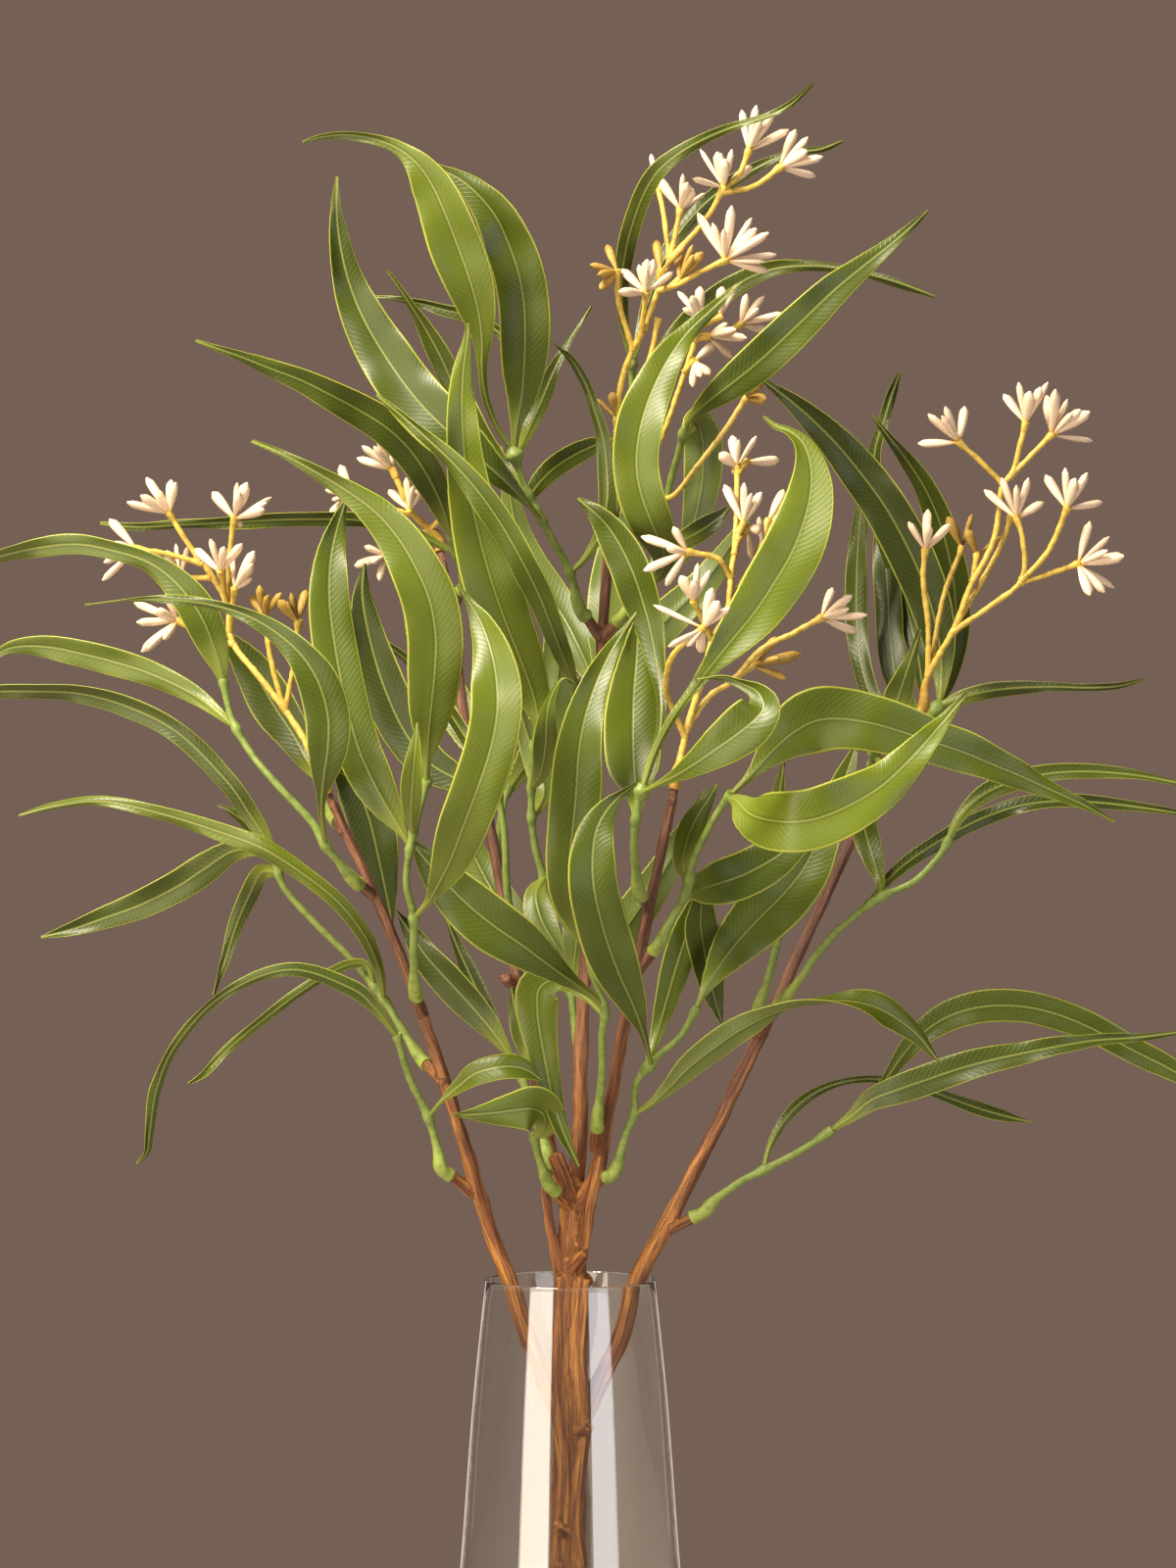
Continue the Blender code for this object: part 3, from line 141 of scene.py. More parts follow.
# %% Sprigs on the left limb
SPRIGS = {
    "sprig_left_low": planned(
        (-40, 335, -11), ((-50, 343, -16), (-54, 352, -17), (-58, 366, -18), (-66, 383, -21),
         (-71, 400, -24)),
        leaf((-71, 399, -24, 2), (-80, 411, -27, 5), (-90, 419, -28, 7), (-115, 426.5, -28, 5.5),
             (-142, 416, -24, 4), (-161, 396, -18, 4), (-169, 378, -14, 4.5), (-172, 360, -10, 4),
             (-173, 352, -9, 3), (-177, 347, -8, 1), turn=(10, 20)),
        leaf((-58, 366, -18, 1.5), (-52, 373, -22, 2), (-45, 379, -25, 6), (-38, 384, -27, 10),
             (-28, 386.5, -28, 11), (-19, 385.5, -27, 9), (-12, 381, -26, 1.5), turn=(10, 20))),
    "sprig_left_long": planned(
        (-52, 381, -15), ((-60, 389, -7), (-70, 404, -4), (-76, 414, -2), (-90, 431, 0),
         (-104, 445, 0), (-117, 460, 0), (-122, 477, 0)),
        leaf((-121, 474, 0, 2), (-125, 481, 0, 6), (-131, 490, 0, 8), (-140, 503, 0, 8.5),
             (-160, 523, 2, 8.5), (-180, 533.5, 5, 9), (-200, 539, 6, 8), (-220, 540, 7, 7),
             (-235, 540, 8, 6), (-247, 540, 8, 2), turn=(10, 20)),
        leaf((-76, 414, -2, 2), (-78, 426, -8, 4), (-84, 440, -14, 6), (-95, 454, -17, 6.5),
             (-110, 466, -18, 7), (-125, 475.5, -18, 8), (-140, 481.5, -16, 7.5),
             (-165, 489.5, -14, 6), (-190, 495, -12, 4), (-210, 493, -9, 3), (-225, 489, -8, 1),
             turn=(0, 10)),
        leaf((-118, 472, 0, 2), (-128, 475, 2, 5), (-138, 474.5, 5, 9), (-150, 467, 8, 13),
             (-160, 460.5, 10, 13), (-175, 453, 11, 12), (-190, 447.5, 12, 9.5), (-203, 443, 12, 6),
             (-216, 439.5, 12, 1)),
        leaf((-119, 466, 0, 3), (-126, 466, 4, 7), (-131, 457, 8, 8), (-136, 446, 10, 6.5),
             (-140, 434, 10, 4.5), (-143.5, 424, 10, 2.5), (-146, 416, 10, 1), turn=(0, 20)),
        leaf((-80, 419, -1, 2), (-83, 428, -2, 3), (-90, 428.5, -3, 4), (-100, 424, -4, 4),
             (-115, 414, -6, 4.5), (-128, 404, -6, 4.5), (-140, 394, -6, 3.5), (-149, 385, -6, 2.5),
             (-156, 380, -6, 1), turn=(10, 20)),
        leaf((-121, 474, 0, 1.5), (-127, 481, 5, 4), (-133, 487, 9, 5), (-139, 491, 12, 3),
             (-144, 493, 13, 1), turn=(10, 20))),
    "sprig_left_front": planned(
        (-61, 409, -17), ((-64, 420, -27), (-64, 432, -31), (-64, 448, -34), (-67, 462, -36),
         (-65, 478, -38), (-62, 490, -38), (-58, 505, -38)),
        leaf((-64, 447, -34, 2), (-58, 454, -38, 3), (-54, 461, -42, 8), (-49, 471, -46, 15),
             (-44, 484, -50, 19), (-38, 500, -54, 20), (-33, 515, -55, 20), (-30, 530, -55, 20),
             (-30, 543, -53, 19.5), (-32, 555, -51, 16), (-36, 567, -48, 10), (-41, 576, -46, 4),
             (-46, 583, -45, 1), turn=(0, 10)),
        leaf((-65, 476, -38, 2), (-69, 483, -38, 4), (-75, 493, -38, 12), (-81, 504, -37, 17),
             (-87, 518, -35, 18), (-92, 537, -33, 18), (-96, 557, -31, 18), (-98.5, 577, -29, 16.5),
             (-98, 594, -27, 12.5), (-95, 608, -25, 7), (-91, 620, -24, 1), turn=(10, -10)),
        leaf((-64, 482, -40, 2), (-65, 490, -45, 6), (-64.5, 502, -49, 9), (-63.5, 514, -52, 6.5),
             (-62.5, 527, -53, 1), turn=(10, 10)),
        leaf((-59, 502, -38, 2), (-58.5, 512, -40, 4), (-58, 521, -42, 10), (-57, 532, -44, 17),
             (-55.5, 547, -46, 21), (-55, 562, -47, 22), (-57.5, 577, -48, 22), (-63, 590, -48, 20),
             (-70, 602, -47, 17), (-79, 612.5, -46, 13), (-90, 621, -45, 9), (-103, 629, -44, 6),
             (-117, 636.5, -43, 3), (-130, 642, -42, 1), turn=(0, 10))),
    "sprig_left_outer": planned(
        (-81, 457, -19), ((-90, 464, -28), (-100, 477, -31), (-106, 487, -31), (-120, 502, -31),
         (-130, 514, -29), (-138, 528, -27), (-142, 545, -26)),
        leaf((-100, 477, -31, 2), (-101.5, 488, -36, 2.5), (-101.5, 497, -40, 4),
             (-100.5, 506, -43, 10), (-99, 517, -45, 16), (-99, 530, -46, 18),
             (-103, 544, -47, 16.5), (-110, 555, -47, 12), (-120, 564, -46, 8.5),
             (-132, 571, -45, 5.5), (-147, 575.5, -43, 4), (-165, 577.5, -42, 3),
             (-183, 577, -40, 2), (-198, 575, -38, 1), turn=(0, 20)),
        leaf((-137, 525, -28, 1.5), (-143, 530.5, -26, 4), (-152, 537.5, -23, 7),
             (-162, 543, -21, 9), (-175, 548.5, -19, 10.5), (-188, 552.5, -17, 11.5),
             (-200, 555.5, -16, 11), (-212, 558, -15, 9.5), (-223, 558.5, -14, 7),
             (-231, 557, -13, 4), (-236, 553, -12, 1), turn=(0, 15)),
        leaf((-142, 543, -26, 2.5), (-143, 550, -27, 7), (-146, 559, -28, 12.5),
             (-150, 569, -29, 15), (-156, 578.5, -29, 14), (-164, 587, -28, 11),
             (-173, 593, -27, 8), (-185, 597, -25, 7.5), (-200, 600, -23, 8), (-215, 599, -21, 8),
             (-233, 595, -18, 6), (-248, 590, -16, 2), turn=(0, 15))),
    "sprig_left_back": planned(
        (-92, 482, -20), ((-98, 490, -9), (-101, 496, -2), (-102, 504, 5)),
        leaf((-102, 502, 4, 2), (-107, 511, 10, 8), (-113, 522, 13, 15), (-121, 534, 15, 19),
             (-128, 546, 16, 17), (-135, 556, 16, 11), (-142, 565, 16, 1), turn=(10, 0)),
        leaf((-102, 501, 3, 2), (-97, 507, 10, 8), (-89, 503, 14, 16), (-83, 490, 14, 19),
             (-79, 474, 13, 18), (-76, 460, 12, 12), (-74, 450, 12, 5), (-73, 443, 12, 1),
             turn=(0, 20))),
}
print("sprigs so far:", len(SPRIGS))

# %% Sprigs of the crown
SPRIGS |= {
    "sprig_crown_left": planned(
        (13, 561, 13), ((5, 572, 9), (0, 588, 5), (-8, 603, 2), (-17, 620, 0), (-24, 640, -2)),
        leaf((-23, 637, -2, 2), (-30, 648, -4, 2.5), (-34.5, 660, -7, 3), (-36, 672, -10, 4),
             (-36, 683, -12, 8), (-37.5, 695, -14, 15), (-41, 708, -16, 20), (-46, 722, -17, 21.5),
             (-51, 735, -18, 20.5), (-56, 746, -18, 17), (-62, 755, -18, 11), (-70, 761.5, -17, 6),
             (-80, 765.5, -16, 4.5), (-92, 767.3, -14, 4), (-102, 766.3, -13, 3),
             (-109, 764.3, -12, 1), turn=(10, 20)),
        leaf((-23, 637, -2, 2), (-22, 649, -3, 5), (-20, 660, -4, 12), (-19, 672, -5, 18),
             (-18.5, 685, -6, 20.5), (-19, 698, -6, 21), (-21, 710, -7, 21), (-25, 722, -7, 20),
             (-30, 733, -8, 17), (-37, 742, -8, 12.5), (-45, 749, -7, 7), (-55, 754, -6, 3),
             (-60, 757, -6, 1), turn=(-10, 10)),
        leaf((-12, 609, 1, 2), (-18, 617, -3, 3), (-28, 627, -6, 9), (-40, 637.5, -7, 17),
             (-51, 647, -7, 22), (-61, 657, -5, 23), (-69, 667, -3, 22.5), (-76.5, 678, -1, 21.5),
             (-83, 689, 0, 19), (-88.5, 701, 1, 15.5), (-92.5, 714, 1, 11.5), (-95, 728, 1, 7.5),
             (-95.7, 740, 0, 3.5), (-95, 750, 0, 1), turn=(10, -10)),
        leaf((-17, 620, 0, 2), (-26, 631, 8, 5), (-38, 648, 12, 10), (-47, 664, 14, 11),
             (-53, 677, 14, 10), (-59, 688, 14, 7), (-66, 699, 13, 3.5), (-75, 711.5, 12, 1),
             turn=(20, 25)),
        leaf((-23, 636, -2, 2), (-20, 655, 9, 3), (-26, 683, 13, 4.5), (-42, 693, 14, 5),
             (-52, 696, 14.5, 4.5), (-62, 698.5, 15, 3.5), (-72, 700, 15.5, 2.5),
             (-80, 700.5, 16, 1), turn=(10, 20)),
        leaf((-21, 636, 0, 2), (-17, 647, 4, 6), (-12, 658, 6, 7), (-7.5, 669, 8, 5.5),
             (-1.5, 681, 10, 3.5), (8.5, 697, 12, 1), turn=(0, 20)),
        leaf((0, 588, 5, 2), (6, 594, 4, 3), (12, 604, 3, 5), (15, 617, 2, 7), (15, 630, 3, 7.5),
             (13.5, 643, 4, 6.5), (10, 655, 4, 5), (6, 666, 4, 3.5), (0, 676, 4, 3),
             (-8, 683, 4, 1), turn=(10, 20)),
        leaf((-16, 614, 2, 2), (-16, 620, 12, 5), (-9, 629, 18, 9), (0, 635.5, 22, 9.5),
             (9, 640, 24, 7.5), (18, 643.5, 25, 1))),
    "sprig_crown_right": planned(
        (13, 561, 13), ((22, 571, 7), (30, 582, 6), (36, 600, 9), (40, 622, 11), (45, 640, 6),
         (47, 648, 2)),
        leaf((46, 645, 3, 2), (49, 651, 0, 3), (56, 658, -4, 8), (65, 665, -7, 13),
             (75, 673, -8, 16), (86, 683, -9, 16.5), (97, 693.5, -8, 15.5), (108, 704, -8, 13),
             (119, 713, -7, 9.5), (129, 721, -6, 6.5), (138, 728.5, -5, 3.5), (146, 736, -4, 1),
             turn=(-10, 10)),
        leaf((30, 582, 6, 2), (37, 588, -3, 5), (38, 597, -9, 12), (33.5, 608, -13, 17),
             (29, 620, -14, 19), (27, 632, -14, 19), (28, 644, -14, 19), (31, 656, -13, 18.5),
             (35.5, 667, -12, 16), (41, 677, -11, 12.5), (48, 686.5, -9, 8), (57, 695, -8, 5),
             (64, 701.5, -7, 3), (70, 707, -6, 1), turn=(0, 20)),
        leaf((46, 644, 4, 3), (51, 651, 10, 10), (54, 642, 14, 16), (54, 628, 15, 16),
             (52, 615, 15, 13), (49, 603, 15, 8), (47, 592, 15, 1), turn=(170, 180)),
        leaf((35, 597, 8, 2), (45, 601, 6, 7), (54, 606, 5, 9), (61, 611, 5, 6), (66, 616, 5, 1),
             turn=(0, 10))),
    "sprig_crown_top": planned(
        (16, 606, 15), ((18, 616, 25), (23, 632, 29), (25, 655, 30), (25, 676, 28)),
        leaf((25, 674, 28, 2), (22, 690, 24, 4), (21, 706, 19, 6), (22.5, 719, 15, 7.5),
             (25.5, 731, 11, 8), (30, 743, 7, 8), (36, 752.5, 4, 7.5), (45, 760, 2, 6),
             (55, 765.5, 1, 4.5), (67, 770.5, 0, 3.5), (80, 774.5, -1, 3), (90, 779.5, -2, 2.5),
             (99, 788, -3, 1), turn=(0, 10)),
        leaf((25, 672, 28, 2), (32, 700, 34, 5), (41, 722, 37, 6), (54, 738, 39, 6),
             (70, 750, 40, 5), (88, 759, 40, 3.5), (102, 761, 40, 2.5), (111, 764.5, 40, 1),
             turn=(10, 20)),
        leaf((25, 654, 30, 2), (31, 667, 33, 5), (42, 683, 35, 9), (55, 696, 35, 10.5),
             (68, 706, 34, 9.5), (82, 712, 34, 7), (97, 713.5, 33, 4.5), (113, 712, 31, 3.5),
             (131, 707.5, 28, 3), (149, 701, 26, 1), turn=(0, 20))),
    "sprig_middle_left": planned(
        (7, 437, 9), ((-2, 447, 3), (-10, 462, 0), (-15, 480, -2), (-16, 500, -4), (-15, 520, -6)),
        leaf((-15, 517, -6, 2), (-13, 526, -8, 5), (-15, 538, -9, 13), (-20, 552, -11, 19),
             (-26, 567, -13, 22), (-32, 584, -15, 23), (-37, 602, -16, 21.5), (-41, 620, -18, 18),
             (-43.5, 638, -19, 14.5), (-44.5, 655, -20, 12), (-44, 670, -20, 8.5),
             (-42.5, 682, -20, 3.5), (-42, 690, -20, 1), turn=(10, -10)),
        leaf((-16, 500, -4, 2), (-12, 507, -11, 7), (-10, 518, -15, 10), (-9.5, 529, -18, 8),
             (-7.5, 538, -19, 5), (-3, 545, -20, 3), (1, 543, -20, 1), turn=(0, 30)),
        leaf((-15, 488, -3, 2), (-11, 498, 4, 8), (-13, 509, 7, 11), (-17, 520, 8, 9),
             (-20, 530, 8, 4), (-22, 538, 8, 1), turn=(170, 180)),
        leaf((-10, 464, 0, 2), (-14, 457, -7, 9), (-12, 447, -11, 13), (-7, 438, -13, 8),
             (-3, 432, -13, 1), turn=(170, 180))),
    "sprig_middle_band": planned(
        (10, 518, 12), ((4, 526, 3), (2, 534, -4), (2, 545, -12)),
        leaf((2, 543, -11, 2), (-2, 552, -17, 7), (-7, 565, -22, 10), (-13, 580, -25, 11.5),
             (-20, 594, -27, 12), (-28, 608, -27, 11.5), (-37, 621, -27, 10.5),
             (-47, 632.5, -26, 8.5), (-58, 643, -24, 6), (-68, 652, -22, 3.5), (-79, 661, -21, 1),
             turn=(20, 20))),
    "sprig_rear_upper": planned(
        (-49, 572, 47), ((-44, 582, 42), (-45, 592, 37), (-49, 604, 31)),
        leaf((-48, 602, 32, 2), (-50, 608, 29, 6), (-53.5, 618, 25, 11), (-59, 629, 21, 14.5),
             (-66, 639, 19, 15.5), (-75, 647.5, 17, 15.5), (-86, 654.5, 16, 14.5),
             (-98, 661, 14, 12.5), (-110, 667, 13, 10), (-123, 672, 12, 7.5), (-137, 677.5, 11, 4),
             (-153, 683, 10, 1), turn=(0, 10)),
        leaf((-46, 595, 35, 2), (-58, 602, 34, 4), (-72, 607.5, 33, 6), (-88, 610, 32, 6.5),
             (-105, 610.3, 31, 6.5), (-122, 610, 30, 6), (-140, 609, 28, 5), (-158, 608, 26, 4),
             (-176, 607.3, 25, 3), (-192, 608.5, 24, 1), turn=(10, 20))),
    "sprig_rear_middle": planned(
        (-23.5, 434, 26.5), ((-24, 443, 16), (-26, 462, 13), (-27, 482, 12), (-30, 500, 12)),
        leaf((-29, 497, 12, 2), (-44, 503, 14, 10), (-58, 511, 16, 16), (-68, 524, 18, 19),
             (-75, 539, 19, 19.5), (-80, 554, 20, 17), (-83.5, 569, 20, 12), (-85, 581, 20, 7),
             (-84, 592, 20, 1), turn=(0, 10)),
        leaf((-30, 500, 12, 2), (-40, 517, 22, 6), (-53, 537, 28, 7), (-66, 552, 30, 5),
             (-77, 560, 30, 3.5), (-88, 565, 30, 1), turn=(20, 20))),
}
print("sprigs so far:", len(SPRIGS))

# %% Sprigs of the fork and the middle
SPRIGS |= {
    "sprig_fork_left": planned(
        (0, 335, 0), ((-9, 350, -2), (-14, 365, 4), (-19, 380, 8), (-24, 391, 10)),
        leaf((-23, 390, 10, 2), (-30, 399, 11, 7), (-39, 410, 13, 13), (-49, 421, 14, 15),
             (-58, 431, 15, 12), (-65, 441, 16, 7), (-71, 450, 17, 1), turn=(10, 20)),
        leaf((-23, 389, 10, 2), (-30, 402, 18, 5), (-36, 414, 21, 7.5), (-42, 427, 23, 7),
             (-47, 438, 24, 4), (-51, 448, 24, 1), turn=(10, 20)),
        leaf((-19, 381, 8, 2), (-17.5, 390, 9, 5), (-20, 400, 9, 8), (-22.5, 410, 10, 6),
             (-24, 419, 10, 1), turn=(0, 10))),
    "sprig_fork_front": planned(
        (1, 328, -1), ((-9, 339, -10), (-13, 350, -14), (-15, 359, -16)),
        leaf((-15, 358, -16, 2), (-11, 361, -20, 8), (-11, 367, -25, 17), (-16, 369.5, -29, 19),
             (-23, 369, -31, 15), (-31, 368, -33, 10.5), (-40, 367.3, -35, 5), (-48, 367, -36, 1),
             turn=(0, 10))),
    "sprig_centre_left": planned(
        (10, 353, -7), ((11, 365, -16), (13, 385, -21), (13, 400, -24), (14, 410, -25),
         (9, 424, -27), (7, 435, -28)),
        leaf((13.5, 412, -25, 2), (7, 417, -28, 3.5), (-1, 422.5, -31, 7), (-10, 429, -33, 13),
             (-20, 436.5, -34, 19), (-31, 444, -34, 22), (-42, 453, -33, 21), (-51, 462, -31, 17),
             (-58, 470, -29, 11), (-63, 476, -27, 5), (-67, 481, -26, 1), turn=(0, 10)),
        leaf((13.5, 407, -25, 2), (6, 415, -22, 3), (-4, 422, -20, 9), (-12.5, 419, -20, 17),
             (-13.5, 409, -21, 17), (-12, 398, -22, 14), (-9.5, 385, -23, 10.5),
             (-6.5, 371, -24, 7.5), (-2, 358, -25, 4.5), (3.5, 346, -25, 1), turn=(0, -10)),
        leaf((7, 434, -28, 2), (4, 443, -31, 8), (0, 456, -34, 15), (-0.5, 470, -36, 18.5),
             (1, 485, -37, 20), (2.5, 500, -37, 20.5), (3.5, 515, -37, 19), (6, 529, -36, 15.5),
             (10.5, 543, -34, 11), (16, 555, -31, 7), (21.5, 564, -29, 3.5), (27, 572, -28, 1),
             turn=(0, 10))),
    "sprig_centre_right": planned(
        (5, 335, -2), ((16.5, 343, -8), (22, 357, -9), (26, 368, -9), (27, 380, -11),
         (36, 391, -13), (45, 399, -15), (52, 411, -16)),
        leaf((26, 367, -9, 2), (33, 371.5, -12, 3), (41, 379, -15, 6.5), (49, 387, -17, 10.5),
             (58, 394, -19, 12), (68, 401, -20, 11), (80, 407.5, -21, 9), (90, 411, -22, 8),
             (99, 412.5, -22, 8), (108, 413, -22, 9), (117, 412.5, -22, 11.5),
             (126, 410, -21, 13.5), (134, 405.5, -20, 11), (142, 399, -19, 7), (150, 389, -18, 1),
             turn=(165, 165, 160, 80, 15, 10)),
        leaf((33, 388, -12, 2), (31, 396, -26, 2.5), (28.5, 404, -36, 5), (25, 413, -41, 11),
             (20, 424, -45, 17), (15.5, 436, -47, 20), (12, 448, -49, 20), (9.5, 460, -49, 19.5),
             (9, 472, -49, 18), (10.5, 483, -48, 14), (14.5, 491, -47, 9), (20, 497, -46, 4),
             (27, 502, -45, 1)),
        leaf((51, 409, -16, 2), (54, 416, -15, 3), (59, 425, -13, 9), (67, 436, -10, 18),
             (77, 447, -8, 23.5), (87, 457, -7, 24.5), (95.5, 468, -5, 22.5), (102, 481, -4, 18),
             (108, 494, -2, 13), (113, 507, -1, 8), (117.5, 520, 0, 1), turn=(0, 10)),
        leaf((31, 386, -12, 2), (35, 399, -8, 5), (39, 413, -6, 9), (43, 427, -5, 12),
             (47, 440, -5, 12), (50.5, 451, -4, 8), (53, 460, -4, 1))),
    "sprig_centre_fan": planned(
        (27, 425, -21.5), ((37, 438, -26), (42, 448, -25), (47, 457, -25), (50, 470, -26),
         (56, 483, -28), (62, 493, -30), (66, 498, -32)),
        leaf((65, 496, -31, 2), (68, 495, -35, 6), (73, 490, -40, 15), (80, 487.5, -45, 22),
             (89, 486.5, -49, 24), (99, 487.5, -50, 24), (109, 491, -50, 23), (119, 496, -49, 21),
             (128, 502, -48, 18), (136, 509.5, -47, 14.5), (144, 518, -46, 10.5),
             (150.5, 525.5, -44, 7), (156, 532, -43, 4), (162, 539, -42, 1), turn=(0, 10)),
        leaf((66, 498, -32, 2), (74, 506, -30, 4), (82, 515, -28, 12), (91, 523, -26, 22),
             (101, 528, -26, 26), (112, 528.5, -27, 25), (124, 526.5, -28, 23), (136, 523, -27, 21),
             (148, 519, -26, 18.5), (160, 515, -24, 17.5), (172, 510, -22, 14.5),
             (184, 505, -20, 11.5), (196, 499.5, -18, 7.5), (208, 494, -16, 4.5),
             (222, 486.5, -14, 1), turn=(0, 20)),
        leaf((47, 457, -25, 2), (53, 459, -21, 12), (61, 461.5, -17, 18), (71, 465, -15, 19),
             (82, 471, -14, 18), (93, 479, -14, 12), (104, 488, -14, 3), (108, 491, -14, 1),
             turn=(0, 10)),
        leaf((49, 462, -26, 2), (46, 470, -22, 8), (48, 480, -19, 11), (52, 489, -17, 9),
             (56.5, 496, -16, 5), (60, 502, -16, 1), turn=(0, 10)),
        leaf((50, 464, -26, 2), (53, 456, -14, 8), (53, 444, -8, 14), (55, 431, -5, 14),
             (58, 417, -3, 10), (62, 403, -2, 1), turn=(10, 20))),
    "sprig_centre_front": planned(
        (32, 451, -25.5), ((27, 460, -34), (26, 475, -37), (27, 490, -39), (30, 502, -40)),
        leaf((29, 498, -40, 2), (36, 502, -45, 2.5), (43, 505.5, -48, 5), (51, 510.5, -51, 10),
             (59, 516, -53, 15), (67, 521.5, -54, 18.5), (74, 527, -55, 19), (79, 533, -54, 15),
             (77, 539.5, -52, 8), (70, 543.5, -50, 4), (62, 546, -48, 3), (52, 545, -47, 1),
             turn=(0, 0, 20, 50)),
        leaf((29.5, 500, -40, 2.5), (34, 514, -40, 3), (41, 528, -41, 3.5), (49.5, 540, -41, 4),
             (58, 551, -40, 8), (66, 561, -39, 15), (75, 572, -38, 20.5), (83, 584, -37, 23.5),
             (90, 596, -35, 24), (95, 608.5, -34, 22.5), (98, 621, -33, 18.5), (98, 632, -32, 13),
             (95, 641, -31, 7), (89.5, 646, -30, 3.5), (84, 648, -29, 2.5), (79, 652, -28, 1)),
        leaf((27, 488, -39, 2), (27, 497, -32, 8), (26, 507, -28, 20), (25.5, 518, -25, 23),
             (25.5, 530, -22, 22.5), (26, 542, -20, 19), (27, 554, -18, 13), (27.5, 565, -17, 6),
             (28, 575, -17, 1)),
        leaf((29, 499, -40, 2), (34, 513, -33, 2.5), (37, 527, -27, 3.5), (37, 540, -23, 5),
             (35, 553, -20, 8.5), (32.5, 566, -18, 12.5), (29.5, 577, -17, 15.5),
             (26, 587.5, -17, 16.5), (21.5, 597.5, -16, 15.5), (16, 606.5, -15, 12),
             (10, 613, -15, 7.5), (3, 618.5, -14, 1), turn=(0, 20))),
}
print("sprigs so far:", len(SPRIGS))

